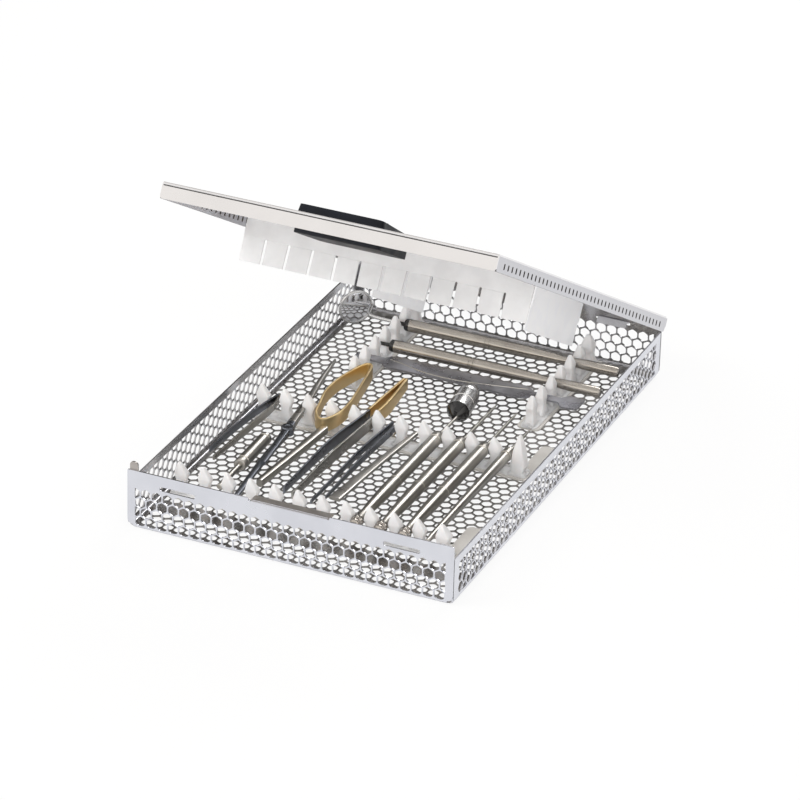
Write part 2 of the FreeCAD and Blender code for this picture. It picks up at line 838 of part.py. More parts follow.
def make_latch_body():
    """Lower housing under the lid: rounded like a boat, with a channel for the bolt."""
    half = size("latch_width") / 2
    body = new_body("latch_body", OPEN)
    plan = sketch_on(body, "XY_Plane", LID_UNDER - size("latch_drop"))
    corner = size("latch_corner")
    rounds = {0: corner, 1: corner, 2: corner, 3: corner}
    draw(plan, rectangle(-half, half, LATCH_FRONT, LATCH_REAR), rounds)
    pad(body, plan, "sizes.latch_drop")
    fit = size("bolt_fit")
    channel_half = size("bolt_width") / 2 + fit
    low = bolt_level() - fit
    high = low + size("bolt_thick") + 2 * fit
    front = sketch_on(body, "XZ_Plane", -LATCH_FRONT)
    draw(front, rectangle(-channel_half, channel_half, low, high))
    pocket(body, front, "sizes.bolt_length + 2 * sizes.bolt_fit")
    slot = sketch_on(body, "XY_Plane", LID_UNDER)
    draw(slot, stem_slot())
    pocket(body, slot, LID_UNDER - low - fit)
    keel = sketch_on(body, "YZ_Plane")
    nose = LATCH_FRONT
    base = LID_UNDER - size("latch_drop")
    bow = size("latch_bow")
    below = [(nose - 1, base - 1), (nose + bow, base - 1), (nose + bow, base)]
    draw(keel, below + [(nose, base), (nose, base + bow), (nose - 1, base + bow)], {3: bow - 0.1})
    pocket(body, keel, "2 * sizes.latch_width", symmetric=True)


def make_latch_slide():
    """Bolt, stem and ribbed grip in one moulding; it slides towards the front to lock."""
    level = bolt_level()
    body = new_body("latch_slide", OPEN)
    bolt_half = size("bolt_width") / 2
    plan = sketch_on(body, "XY_Plane", level)
    rounding = size("corner_round")
    bolt_rear = bolt_front() + size("bolt_length") - 1
    draw(plan, rectangle(-bolt_half, bolt_half, bolt_front(), bolt_rear), {0: rounding, 1: rounding})
    pad(body, plan, "sizes.bolt_thick")
    stem = sketch_on(body, "XY_Plane", level + size("bolt_thick") / 2)
    stem_half = size("stem_width") / 2
    draw(stem, rectangle(-stem_half, stem_half, stem_front(), stem_front() + size("stem_length")))
    grip_low = LID_TOP + size("well_floor") + size("bolt_fit")
    pad(body, stem, grip_low + 0.5 - level - size("bolt_thick") / 2)
    grip = sketch_on(body, "YZ_Plane")
    front = grip_front()
    rear = front + size("grip_length")
    high = LID_TOP + size("latch_rise") + size("grip_rise")
    groove = high - size("grip_rib_depth")
    ribs = int(size("grip_rib_count"))
    step = size("grip_length") / (2 * ribs + 1)
    points = [(front, grip_low), (rear, grip_low), (rear, high)]
    for i in range(ribs):
        near = rear - (2 * i + 1) * step
        points += [(near, high), (near, groove), (near - step, groove), (near - step, high)]
    points.append((front, high))
    draw(grip, points)
    pad(body, grip, "sizes.grip_width", symmetric=True)


# Instruments that lie in the racks

def gap_x(number):
    """Middle of a gap between two fingers of the racks that run across the tray."""
    return size("cross_rack_x") + (number + 0.5) * size("finger_pitch")


def gap_y(number):
    """Middle of a gap between two fingers of the racks at the rear."""
    return REAR_RACK_Y + (number + 0.5) * size("rear_finger_pitch")


def turned(label, profile, start, direction):
    """A round instrument turned about its own length; profile holds (station, radius) pairs."""
    body = new_body(label)
    drawing = sketch_on(body, "XZ_Plane")
    draw(drawing, [(profile[0][0], 0)] + list(profile) + [(profile[-1][0], 0)])
    revolve(body, drawing, "X_Axis")
    body.Placement = FreeCAD.Placement(start, FreeCAD.Rotation(V(1, 0, 0), direction))
    return body


def grip_profile(length):
    """Slimmer chuck and the round grip behind it."""
    radius = size("handle_radius")
    chuck = size("chuck_length")
    return [(0, size("chuck_radius")), (chuck, size("chuck_radius")), (chuck, radius), (length, radius)]


def polished_head(start):
    """Polished head with a cone towards the shaft and a stepped rim at its far end."""
    radius = size("head_radius")
    far = start + size("head_length")
    rim = far - size("head_rim")
    lip = radius - size("head_lip")
    nose = start + size("head_nose")
    return [(start, size("thin_radius")), (nose, radius), (rim, radius), (rim, lip), (far, lip)]


def make_handles():
    """Four round-handled instruments from the front rack over the middle one."""
    front = FRONT_RACK_Y - size("handle_lead")
    length = size("middle_rack_y") - front + size("handle_tail")
    shaft = size("shaft_radius")
    grip = grip_profile(length)
    head_rear = gap_y(1) - size("retractor_width") / 2 - size("head_clear") - front
    head = polished_head(head_rear - size("head_length"))
    tails = {
        1: [(length, shaft), (head[0][0], shaft)] + head,
        2: [(length, shaft), (length + size("shaft_length_2"), shaft)],
        3: [(length, shaft), (length + size("shaft_length_3"), shaft)],
    }
    for number, tail in tails.items():
        start = V(gap_x(number + 6), front, AXIS_LEVEL)
        turned("round_handle_%d" % number, grip + tail, start, V(0, 1, 0))
    thin = size("thin_radius")
    wide = size("slim_radius")
    slim = [(0, thin), (length / 2, thin), (length / 2, wide), (length, wide)]
    slim += [(length, shaft), (length + size("slim_shaft"), shaft)]
    turned("slim_handle", slim, V(gap_x(10), front, AXIS_LEVEL), V(0, 1, 0))


def double_profile(length):
    """Handle of a rear instrument: thick at both ends, with a neck near its right end."""
    radius = size("handle_radius")
    thin = size("thin_radius")
    point = size("rear_handle_point")
    neck = length * size("rear_neck_share")
    end = length * size("rear_end_share")
    profile = [(0, size("shaft_radius")), (point, size("shaft_radius")), (point, radius), (neck, radius)]
    return profile + [(neck, thin), (end, thin), (end, size("chuck_radius")), (length, size("chuck_radius"))]


def rear_handle_left():
    return -size("rear_rack_x") - size("rear_handle_lead")


def make_rear_handles():
    """Two handles that lie across the rear racks; the mirror's neck plugs on the left of one."""
    left = rear_handle_left()
    length = size("rear_rack_x") + size("rear_handle_reach") - left
    for label, gap in (("mirror_handle", 4), ("rear_handle", 2)):
        turned(label, double_profile(length), V(left, gap_y(gap), AXIS_LEVEL), V(1, 0, 0))


def strip_between(start, end, start_width, end_width):
    """Plan outline of a straight strip, each end with a width of its own."""
    run = V(end[0] - start[0], end[1] - start[1], 0).normalize()
    side = V(-run.y, run.x, 0)
    left = [(start[0] + side.x * start_width / 2, start[1] + side.y * start_width / 2)]
    left.append((end[0] + side.x * end_width / 2, end[1] + side.y * end_width / 2))
    right = [(end[0] - side.x * end_width / 2, end[1] - side.y * end_width / 2)]
    right.append((start[0] - side.x * start_width / 2, start[1] - side.y * start_width / 2))
    return (left + right)[::-1]


def plate(body, points, low, height, rounds=None):
    """Add a level plate of a plan outline to a body; height is its thickness upwards."""
    drawing = sketch_on(body, "XY_Plane", low)
    draw(drawing, points, rounds)
    return pad(body, drawing, height)


def make_tweezers(label, left, right, height):
    """Two sprung arms; left and right hold each arm's outer points from its tip to the joined end."""
    arm = size("arm_thick")
    throat = left[-1][1] - size("tweezer_joint")
    inner_left = [(x + arm, y) for x, y in left[:-1]] + [(left[-1][0] + arm, throat)]
    inner_right = [(x - arm, y) for x, y in right[:-1]] + [(right[-1][0] - arm, throat)]
    points = left + right[::-1] + inner_right + inner_left[::-1]
    plate(new_body(label), points[::-1], SEAT, height)


def make_all_tweezers():
    half = size("tweezer_end") / 2
    rack = size("middle_rack_y")
    rear = rack + size("rack_width") / 2
    knee = rack - size("tweezer_knee")
    spread = size("tweezer_spread")
    flat = gap_x(0)
    tip = FRONT_RACK_Y + size("flat_tip_left")
    left = [(flat - spread, tip), (flat - spread + 1, knee), (flat - half, rear)]
    right = [(flat - 1, FRONT_RACK_Y + size("flat_tip_right")), (flat + 1, knee), (flat + half, rear)]
    make_tweezers("flat_tweezers", left, right, "sizes.tweezer_height")
    gold = gap_x(4)
    tail = REAR_RACK_Y - size("gold_tail")
    tip = FRONT_RACK_Y + size("gold_tip_left")
    left = [(gold - spread - 1, tip), (gold - spread, knee), (gold - half, rack), (gold - half + 1, tail)]
    tip = FRONT_RACK_Y + size("gold_tip_right")
    turn = rack - size("gold_knee_right")
    right = [(gold - 0.5, tip), (gold, turn), (gold + half, rack), (gold + half + 1, tail)]
    make_tweezers("gold_forceps", left, right, "sizes.blade_height + sizes.arm_thick")
    fine = gap_x(5)
    narrow = half + 1
    tip = FRONT_RACK_Y + size("fine_tip_left")
    left = [(fine - narrow, tip), (fine - narrow, knee), (fine - half + 1, rear)]
    right = [(fine + 1, FRONT_RACK_Y + size("fine_tip_right")), (fine + 1, knee), (fine + half, rear)]
    make_tweezers("fine_forceps", left, right, "sizes.tweezer_height")


def make_scissors():
    """Long scissors: two shanks in front of the joint, two blades behind it, one above the other."""
    layer = size("blade_layer")
    wide = size("scissor_width")
    shank = wide * 0.6
    point = size("scissor_point")
    front = (gap_x(2) - 0.8, FRONT_RACK_Y - size("scissor_lead"))
    rear = (gap_x(1) - size("tweezer_spread"), REAR_RACK_Y + size("scissor_tail"))
    joint_y = size("middle_rack_y") - size("scissor_joint")
    share = (joint_y - front[1]) / (rear[1] - front[1])
    joint = (front[0] + share * (rear[0] - front[0]), joint_y)
    crossed = (joint[0] + wide + 1, joint_y - size("scissor_shank"))
    body = new_body("scissors")
    plate(body, strip_between(front, joint, shank, wide), SEAT, "sizes.blade_layer")
    plate(body, strip_between(joint, rear, wide, point), SEAT, "sizes.blade_layer")
    plate(body, strip_between(crossed, joint, shank, wide), SEAT + layer, "sizes.blade_layer")
    upper = (rear[0] + point + 0.3, rear[1] - 2)
    plate(body, strip_between(joint, upper, wide, point), SEAT + layer, "sizes.blade_layer")
    hub = sketch_on(body, "XY_Plane", SEAT)
    hub.addGeometry(Part.Circle(V(joint[0], joint[1], 0), V(0, 0, 1), size("scissor_hub")), False)
    pad(body, hub, "2 * sizes.blade_layer + sizes.sheet")


def make_needle_holder():
    """Shank that ends in a long gold finger loop round one finger of the middle rack."""
    rack = size("middle_rack_y")
    left = gap_x(2) - 1.2
    right = gap_x(3) + 1.0
    tail = REAR_RACK_Y + size("loop_tail")
    tip = gap_x(2) + 5.5
    broad = rack + 0.4 * (tail - rack)
    front = rack - size("loop_front") - 1
    loop = [(right + 1, rack + 9), (tip + 1.5, tail), (tip - 2, tail), (left - 3.5, broad), (left, rack - 6)]
    loop += [(left + 5, front), (right - 3, front), (right, rack - 8)]
    body = new_body("needle_holder")
    plate(body, loop, SEAT, "sizes.loop_height", {3: 12.0, 4: 14.0})
    hole = sketch_on(body, "XY_Plane", SEAT + size("loop_height"))
    draw(hole, inset(loop, size("loop_wall")), {3: 10.0, 4: 12.0})
    pocket(body, hole, "sizes.loop_height + sizes.sheet")
    shank_front = (gap_x(3) - 9, FRONT_RACK_Y + size("needle_tip"))
    shank_rear = (right - 3.2, rack - size("loop_front") - 0.5)
    width = size("needle_width")
    plate(body, strip_between(shank_front, shank_rear, width, width), SEAT, "2 * sizes.blade_layer")


def inset(points, distance):
    """A convex counter-clockwise outline moved inwards by a distance."""
    moved = []
    for i, point in enumerate(points):
        after_point = points[(i + 1) % len(points)]
        run_in = V(point[0] - points[i - 1][0], point[1] - points[i - 1][1], 0).normalize()
        run_out = V(after_point[0] - point[0], after_point[1] - point[1], 0).normalize()
        normal_in = V(-run_in.y, run_in.x, 0)
        normal_out = V(-run_out.y, run_out.x, 0)
        middle = V(normal_in + normal_out).normalize()
        step = middle * (distance / middle.dot(normal_in))
        moved.append((point[0] + step.x, point[1] + step.y))
    return moved


def make_tapered_blade():
    """Flat light instrument, broad at its blunt front end, whose stem lies in the middle rack."""
    front = (gap_x(6) - size("blade_skew"), FRONT_RACK_Y + size("blade_tip"))
    rear = (gap_x(6), size("middle_rack_y") + size("rack_width") / 3)
    points = strip_between(front, rear, size("blade_front_width"), size("blade_rear_width"))
    plate(new_body("tapered_blade"), points, SEAT, "sizes.blade_layer")


def make_tube_handle():
    """Short round tube with a thin stem that lies in the front rack."""
    radius = size("handle_radius")
    stem = size("tube_stem")
    start = V(gap_x(1) + 0.6, FRONT_RACK_Y + 1, SEAT + stem)
    end = V(gap_x(1) - 1.2, size("middle_rack_y") - size("tube_lead"), start.z)
    length = (end - start).Length
    near = length - size("tube_grip")
    turned("tube_handle", [(0, stem), (near, stem), (near, radius), (length, radius)], start, end - start)


def make_retractor():
    """Flat steel blade at the rear: broad between the racks and waisted where it crosses them."""
    middle = gap_y(1)
    rack_x = size("rear_rack_x")
    half = size("rack_width") / 2 + 2
    neck = size("retractor_neck") / 2
    broad = size("retractor_width") / 2
    end = rack_x + half + size("retractor_end")
    upper = [(end, broad - 1), (rack_x + half + 3, broad), (rack_x + half, neck), (rack_x - half, neck)]
    upper += [(rack_x - half - 3, broad), (half - rack_x, broad)]
    upper += [(half - rack_x - 3, neck), (-rack_x - half, neck)]
    lower = [(x, -y) for x, y in upper[::-1]]
    body = new_body("retractor")
    plate(body, [(x, middle + y) for x, y in upper + lower], SEAT, "sizes.arm_thick")
    hole = sketch_on(body, "XY_Plane", SEAT + size("arm_thick"))
    centre = V(half - rack_x + size("mirror_stem") * 5, middle + 2, 0)
    hole.addGeometry(Part.Circle(centre, V(0, 0, 1), size("retractor_hole") / 2), False)
    pocket(body, hole, "2 * sizes.arm_thick")


def make_mouth_mirror():
    """Round mirror in a raised rim on a bent neck, which plugs on the end of its handle."""
    radius = size("mirror_radius")
    thick = size("mirror_thick")
    rim = size("mirror_rim")
    stem = size("mirror_stem")
    handle_end = V(rear_handle_left(), gap_y(4), AXIS_LEVEL)
    wall_clear = radius * math.sqrt(0.5) + SHEET + 0.8
    centre = V(-HALF_W + wall_clear, gap_y(4) + size("mirror_offset"), AXIS_LEVEL + 0.2)
    along = V(1, 1, 0).normalize()
    face_to = V(1, -1, 0).normalize()
    back = centre - face_to * thick / 2
    disc = Part.makeCylinder(radius, thick + rim, back, face_to)
    recess = Part.makeCylinder(radius - rim, rim, back + face_to * thick, face_to)
    root = centre + along * (radius - rim)
    knee = V(root.x + 5, handle_end.y + 1.5, root.z)
    neck_one = Part.makeCylinder(stem, (knee - root).Length + stem / 2, root, knee - root)
    run = (handle_end - knee).Length - size("handle_seat")
    neck_two = Part.makeCylinder(stem, run, knee, handle_end - knee)
    computed("mouth_mirror", disc.cut(recess).fuse([neck_one, neck_two]))


def finish():
    """Check every object and shape, then write one file per sub-part."""
    doc.recompute()
    for item in doc.Objects:
        if "Invalid" in item.State or "Error" in item.State:
            raise ValueError("%s did not build" % item.Label)
    for item in PIECES:
        shape = item.Shape
        if shape.isNull() or not shape.isValid() or not shape.Solids:
            raise ValueError("%s has no valid solid" % item.Label)
    for item in PIECES:
        item.Shape.exportStep("parts/%s.step" % item.Label)
    print("%d sub-parts" % len(PIECES))


make_floor()
make_end_wall("front_wall", True)
make_end_wall("rear_wall", False)
make_side_wall("left_wall", -1)
make_side_wall("right_wall", 1)
make_catch_lip()
make_corner_ear()
make_cross_rail("front_rail", FRONT_RACK_Y)
make_cross_rail("middle_rail", size("middle_rack_y"))
make_rear_rail("rear_left_rail", -size("rear_rack_x"))
make_rear_rail("rear_right_rail", size("rear_rack_x"))
make_rack("front_rack", FRONT_RACK_Y, 0.0)
make_rack("middle_rack", size("middle_rack_y"), size("rack_end_rise"))
make_rear_rack("rear_left_rack", -size("rear_rack_x"))
make_rear_rack("rear_right_rack", size("rear_rack_x"))
make_lid_plate()
make_lid_front()
make_lid_rear()
make_lid_side("lid_left_flange", -1)
make_lid_side("lid_right_flange", 1)
make_comb()
make_side_strip("left_hold_down", -size("side_strip_x"))
make_side_strip("right_hold_down", size("side_strip_x"))
make_latch_cover()
make_latch_body()
make_latch_slide()
make_handles()
make_rear_handles()
make_all_tweezers()
make_scissors()
make_needle_holder()
make_tapered_blade()
make_tube_handle()
make_retractor()
make_mouth_mirror()
finish()
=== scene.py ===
import json
import math
import bpy
import numpy as np
from mathutils import Matrix, Vector
from mathutils.geometry import delaunay_2d_cdt


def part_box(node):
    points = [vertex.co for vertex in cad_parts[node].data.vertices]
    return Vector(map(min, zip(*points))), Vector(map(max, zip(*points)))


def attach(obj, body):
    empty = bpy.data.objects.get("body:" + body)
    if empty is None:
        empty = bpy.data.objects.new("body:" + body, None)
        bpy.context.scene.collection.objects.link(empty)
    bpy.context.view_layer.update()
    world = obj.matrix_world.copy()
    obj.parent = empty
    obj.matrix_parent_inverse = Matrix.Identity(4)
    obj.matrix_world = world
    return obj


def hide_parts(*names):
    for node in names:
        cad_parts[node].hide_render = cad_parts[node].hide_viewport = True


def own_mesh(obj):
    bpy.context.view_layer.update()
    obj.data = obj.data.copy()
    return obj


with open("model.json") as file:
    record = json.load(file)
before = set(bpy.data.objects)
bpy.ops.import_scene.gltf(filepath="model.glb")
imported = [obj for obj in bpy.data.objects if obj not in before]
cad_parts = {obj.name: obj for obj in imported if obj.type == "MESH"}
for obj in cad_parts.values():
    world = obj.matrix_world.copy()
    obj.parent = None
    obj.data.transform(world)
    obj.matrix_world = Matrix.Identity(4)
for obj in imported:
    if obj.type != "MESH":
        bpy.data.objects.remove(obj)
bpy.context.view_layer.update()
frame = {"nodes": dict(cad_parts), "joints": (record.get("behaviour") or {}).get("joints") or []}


# Tray: one sheet of perforated stainless steel, folded up on four sides round a small bend
# radius and electropolished. The front and rear walls cover the ends of the side walls.

def finish_group():
    """Cloudy polish with a fine grain: the cloud mixes two colours and adds its share of Spread
    to the roughness, and the height is the grain."""
    group = bpy.data.node_groups.new("cloudy_polish", "ShaderNodeTree")
    sockets = {
        "INPUT": ("Light", "Dark", "Roughness", "Spread", "Grain", "Cloud"),
        "OUTPUT": ("Base Color", "Roughness", "Height"),
    }
    for way, labels in sockets.items():
        for label in labels:
            kind = "NodeSocketColor" if label in ("Light", "Dark", "Base Color") else "NodeSocketFloat"
            group.interface.new_socket(name=label, in_out=way, socket_type=kind)
    given, made = group.nodes.new("NodeGroupInput"), group.nodes.new("NodeGroupOutput")
    link = group.links.new
    place = group.nodes.new("ShaderNodeTexCoord")
    cloud = group.nodes.new("ShaderNodeTexNoise")
    grain = group.nodes.new("ShaderNodeTexNoise")
    cloud.inputs["Detail"].default_value = 3
    grain.inputs["Detail"].default_value = 3
    for texture, scale in ((cloud, "Cloud"), (grain, "Grain")):
        link(place.outputs["Object"], texture.inputs["Vector"])
        link(given.outputs[scale], texture.inputs["Scale"])
    spread = group.nodes.new("ShaderNodeMapRange")
    spread.inputs["From Min"].default_value = 0.35
    spread.inputs["From Max"].default_value = 0.65
    link(cloud.outputs["Fac"], spread.inputs["Value"])
    tint = group.nodes.new("ShaderNodeMix")
    tint.data_type = "RGBA"
    link(spread.outputs["Result"], tint.inputs["Factor"])
    link(given.outputs["Dark"], tint.inputs["A"])
    link(given.outputs["Light"], tint.inputs["B"])
    shift = group.nodes.new("ShaderNodeMath")
    shift.operation = "MULTIPLY_ADD"
    link(spread.outputs["Result"], shift.inputs[0])
    link(given.outputs["Spread"], shift.inputs[1])
    link(given.outputs["Roughness"], shift.inputs[2])
    link(tint.outputs["Result"], made.inputs["Base Color"])
    link(shift.outputs[0], made.inputs["Roughness"])
    link(grain.outputs["Fac"], made.inputs["Height"])
    return group


CLOUDY_POLISH = finish_group()


def finish(name, light, dark, metallic, roughness, spread, grain=900.0, depth=0.000008, cloud=60.0, rim=1.0):
    """A finish on the cloudy polish: depth is the height of its grain in metres, and rim is
    the share of the dark colour left as painted shade where a round piece turns away from the viewer."""
    material = bpy.data.materials.new(name)
    material.use_nodes = True
    nodes, link = material.node_tree.nodes, material.node_tree.links.new
    shader = nodes["Principled BSDF"]
    shader.inputs["Metallic"].default_value = metallic
    polish = nodes.new("ShaderNodeGroup")
    polish.node_tree = CLOUDY_POLISH
    for socket, value in zip(polish.inputs, ((*light, 1), (*dark, 1), roughness, spread, grain, cloud)):
        socket.default_value = value
    link(polish.outputs["Base Color"], shader.inputs["Base Color"])
    link(polish.outputs["Roughness"], shader.inputs["Roughness"])
    # Painted shade: towards the outline of a round piece its colour darkens, down to rim times the dark
    # colour, for the dark surroundings it mirrors there.
    if rim < 1:
        facing = nodes.new("ShaderNodeLayerWeight")
        shade = nodes.new("ShaderNodeMix")
        shade.data_type = "RGBA"
        link(facing.outputs["Facing"], shade.inputs["Factor"])
        link(polish.outputs["Base Color"], shade.inputs["A"])
        shade.inputs["B"].default_value = (*(rim * channel for channel in dark), 1)
        link(shade.outputs["Result"], shader.inputs["Base Color"])
    bump = nodes.new("ShaderNodeBump")
    bump.inputs["Strength"].default_value = 0.5
    bump.inputs["Distance"].default_value = depth
    link(polish.outputs["Height"], bump.inputs["Height"])
    link(bump.outputs["Normal"], shader.inputs["Normal"])
    return material


def finish_node(node, material):
    """Gives a carried-over solid its finish."""
    frame["nodes"][node].data.materials.clear()
    frame["nodes"][node].data.materials.append(material)


def box_mm(node):
    """Lowest and highest corner of a solid, in millimetres."""
    low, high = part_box(node)
    return np.array(low) * 1000, np.array(high) * 1000


def add_piece(name, points, faces, body, slot, material, replaced=()):
    """Puts a mesh of millimetre points into the scene, in metres, riding on a body."""
    mesh = bpy.data.meshes.new(name)
    mesh.from_pydata((np.asarray(points) * 0.001).tolist(), [], faces)
    mesh.polygons.foreach_set("use_smooth", [True] * len(mesh.polygons))
    mesh.set_sharp_from_angle(angle=math.radians(35))
    mesh.materials.append(material)
    piece = bpy.data.objects.new(name, mesh)
    bpy.context.scene.collection.objects.link(piece)
    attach(piece, body)
    if replaced:
        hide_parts(*replaced)
    return piece


def sheet_between(loops, thick):
    """A flat sheet: the first loop is its outline, the others are its holes.

    The face between the loops is triangulated and copied one thickness up, and each edge that
    only one triangle uses gets a wall between its two copies.
    """
    corners = np.concatenate(loops)
    ends = np.cumsum([len(loop) for loop in loops])
    rings = [list(range(end - len(loop), end)) for end, loop in zip(ends, loops)]
    found = delaunay_2d_cdt([Vector(corner) for corner in corners.tolist()], [], rings, 1, 1e-5, True)
    flat = np.array([tuple(point) for point in found[0]])
    tris = np.array([tri for tri, source in zip(found[2], found[5]) if list(source) == [0]])
    edges = np.concatenate([tris[:, [0, 1]], tris[:, [1, 2]], tris[:, [2, 0]]])
    keys = np.sort(edges, axis=1)
    first, count = np.unique(keys, axis=0, return_index=True, return_counts=True)[1:]
    rim = edges[first[count == 1]]
    n = len(flat)
    points = np.concatenate([np.c_[flat, np.zeros(n)], np.c_[flat, np.full(n, thick)]])
    walls = np.c_[rim[:, 0], rim[:, 1], rim[:, 1] + n, rim[:, 0] + n]
    return points, [*(tris[:, ::-1]).tolist(), *(tris + n).tolist(), *walls.tolist()]


def rounded_loop(corners, radii, steps=5):
    """Counter-clockwise polygon with each corner replaced by an arc that starts and ends its
    radius away from the corner: a quadratic curve between the two ends with the corner as pole."""
    corners = np.array(corners, float)
    loop = []
    for k, radius in enumerate(radii):
        here = corners[k]
        if radius <= 0:
            loop.append(here[None])
            continue
        before, after = corners[k - 1] - here, corners[(k + 1) % len(corners)] - here
        start = here + before / np.linalg.norm(before) * radius
        end = here + after / np.linalg.norm(after) * radius
        t = np.linspace(0, 1, steps)[:, None]
        loop.append((1 - t) ** 2 * start + 2 * t * (1 - t) * here + t ** 2 * end)
    return np.concatenate(loop)


def rectangle_loop(low_u, high_u, low_v, high_v, radii=(0, 0, 0, 0), steps=5):
    """Rectangle with its radii in the order lower left, lower right, upper right, upper left."""
    return rounded_loop([(low_u, low_v), (high_u, low_v), (high_u, high_v), (low_u, high_v)], radii, steps)


HOLE_PITCH = 6.13
HOLE_FLAT = 5.3


def hexagon_loops(low_u, low_v, columns, rows, flat=HOLE_FLAT, turned=False):
    """Rows of hexagon holes that lie one pitch apart; every second row is shifted by half a pitch.

    Shifted rows have one more hexagon, and the field's straight sides cut its first and last in
    half. flat is a hole's width across its flats. Each corner is cut off by a small chamfer: two
    points a little to both sides of the corner and a little nearer the middle take its place.
    Turned swaps the two directions.
    """
    aside, nearer = 0.13, 0.965
    reach = nearer * (flat / math.sqrt(3))
    i, j = np.meshgrid(np.arange(columns + 1), np.arange(rows))
    shifted = j % 2 == 1
    kept = shifted | (i < columns)
    centre_u = low_u + (i + np.where(shifted, 0.0, 0.5)) * HOLE_PITCH
    centre_v = low_v + HOLE_PITCH / math.sqrt(3) + j * HOLE_PITCH * math.sqrt(3) / 2
    turn = (np.radians(30 + 60 * np.arange(6))[:, None] + np.array([[-aside, aside]])).ravel()
    u = centre_u[kept][:, None] + reach * np.cos(turn)
    v = centre_v[kept][:, None] + reach * np.sin(turn)
    u = np.clip(u, low_u, low_u + columns * HOLE_PITCH)
    holes = np.stack([v, u], axis=2)[:, ::-1] if turned else np.stack([u, v], axis=2)
    return list(holes)


ROW_PITCH = HOLE_PITCH * math.sqrt(3) / 2
SHEET = 0.8
floor_low, floor_high = box_mm("tray_floor")
tray_low, tray_high = box_mm("front_wall")
side_high = box_mm("right_wall")[1]
HALF_W = tray_high[0]
HALF_D = box_mm("rear_wall")[1][1]
BEND = floor_low[0] - tray_low[0]
END_TOP = tray_high[2]
SIDE_TOP = side_high[2]
tray_steel = finish("tray_steel", (0.72, 0.73, 0.78), (0.66, 0.67, 0.72), 1, 0.20, 0.08)


def centred(count):
    """Start of a row of holes whose middle lies at zero."""
    return -count * HOLE_PITCH / 2


def field_depth(rows):
    """Depth of a field of rows between its outermost corners."""
    return (rows - 1) * HOLE_PITCH * math.sqrt(3) / 2 + 2 * HOLE_PITCH / math.sqrt(3)


# The floor's holes are a little wider than the walls' and lie nearer the front. One plain band
# across it shows dark through the front wall's holes.
FLOOR_MARGIN = (4, 7)
FLOOR_SHIFT = -2.6
FLOOR_FLAT = HOLE_FLAT + 0.12
PLAIN_BAND = (-119.0, -109.0)
floor_columns = int((floor_high[0] - floor_low[0] - FLOOR_MARGIN[0]) // HOLE_PITCH)
floor_rows = int((floor_high[1] - floor_low[1] - FLOOR_MARGIN[1]) // ROW_PITCH)
floor_start = -field_depth(floor_rows) / 2 + FLOOR_SHIFT
floor_loops = [rectangle_loop(floor_low[0], floor_high[0], floor_low[1], floor_high[1])]
floor_holes = hexagon_loops(centred(floor_columns), floor_start, floor_columns, floor_rows, FLOOR_FLAT)
floor_loops += [hole for hole in floor_holes if not PLAIN_BAND[0] < hole[:, 1].mean() < PLAIN_BAND[1]]
points, faces = sheet_between(floor_loops, SHEET)
# Painted shade: the floor gets a darker, warmer copy of the walls' steel.
floor_shade_steel = finish("floor_shade_steel", (0.38, 0.37, 0.36), (0.30, 0.29, 0.28), 1, 0.22, 0.08)
add_piece("tray_floor_sheet", points, faces, "tray", "tray_steel", floor_shade_steel, ["tray_floor"])


def bend_strip(half_length, radius, steps=8):
    """Quarter bend at a wall's foot: u runs along it, and the angle runs from the floor's
    tangent to the wall's; the two skins are circles about the same centre, one sheet apart."""
    angle = np.linspace(0, math.pi / 2, steps + 1)
    outer = np.c_[radius - radius * np.sin(angle), radius - radius * np.cos(angle)]
    inner = np.c_[radius - (radius - SHEET) * np.sin(angle), radius - (radius - SHEET) * np.cos(angle)]
    ring = np.concatenate([outer, inner[::-1]])
    n = len(ring)
    points = np.concatenate([np.c_[np.full(n, -half_length), ring], np.c_[np.full(n, half_length), ring]])
    k = np.arange(n)
    after = (k + 1) % n
    faces = np.c_[k, k + n, after + n, after].tolist()
    return points, faces + [list(range(n)), list(range(2 * n - 1, n - 1, -1))]


def wall_piece(node, loops, half_bend, turn, shift, material=tray_steel):
    """A wall with its foot bend: the sheet's second direction becomes height and its thickness
    points into the tray; then the wall is turned about Z and moved to its side."""
    flat, faces = sheet_between(loops, SHEET)
    upright = np.c_[flat[:, 0], flat[:, 2], flat[:, 1]]
    foot, foot_faces = bend_strip(half_bend, BEND)
    faces = [face[::-1] for face in faces] + [[k + len(upright) for k in face] for face in foot_faces]
    c, s = math.cos(math.radians(turn)), math.sin(math.radians(turn))
    points = np.concatenate([upright, foot]) @ np.array([[c, s, 0], [-s, c, 0], [0, 0, 1]]) + np.array(shift)
    add_piece(node + "_sheet", points, faces, "tray", "tray_steel", material, [node])


SLOT_X = 61.9
SLOT_HALF = 10.0
SLOT_LEVELS = (24.8, 27.2)
NOTCH_HALF = 22.0
NOTCH_DEPTH = 1.6
END_COLUMNS, END_ROWS = 28, 4
END_FIELD_FOOT = 4.4 - HOLE_PITCH / math.sqrt(3)
slot_loops = [
    rectangle_loop(x - SLOT_HALF, x + SLOT_HALF, *SLOT_LEVELS, (1.1,) * 4) for x in (-SLOT_X, SLOT_X)
]
end_holes = hexagon_loops(centred(END_COLUMNS), END_FIELD_FOOT, END_COLUMNS, END_ROWS)
notch_low = END_TOP - NOTCH_DEPTH
plain_end = rectangle_loop(-HALF_W, HALF_W, BEND, END_TOP, (3.0, 3.0, 0.6, 0.6))
notch = [
    (NOTCH_HALF + 0.6, END_TOP), (NOTCH_HALF, notch_low), (-NOTCH_HALF, notch_low),
    (-NOTCH_HALF - 0.6, END_TOP)
]
notched_end = rounded_loop(
    [(-HALF_W, BEND), (HALF_W, BEND), (HALF_W, END_TOP), *notch, (-HALF_W, END_TOP)],
    (3.0, 3.0, 0.6, 0.3, 0.5, 0.5, 0.3, 0.6)
)
wall_piece("front_wall", [notched_end] + end_holes + slot_loops, HALF_W - 3, 0, (0, -HALF_D, 0))
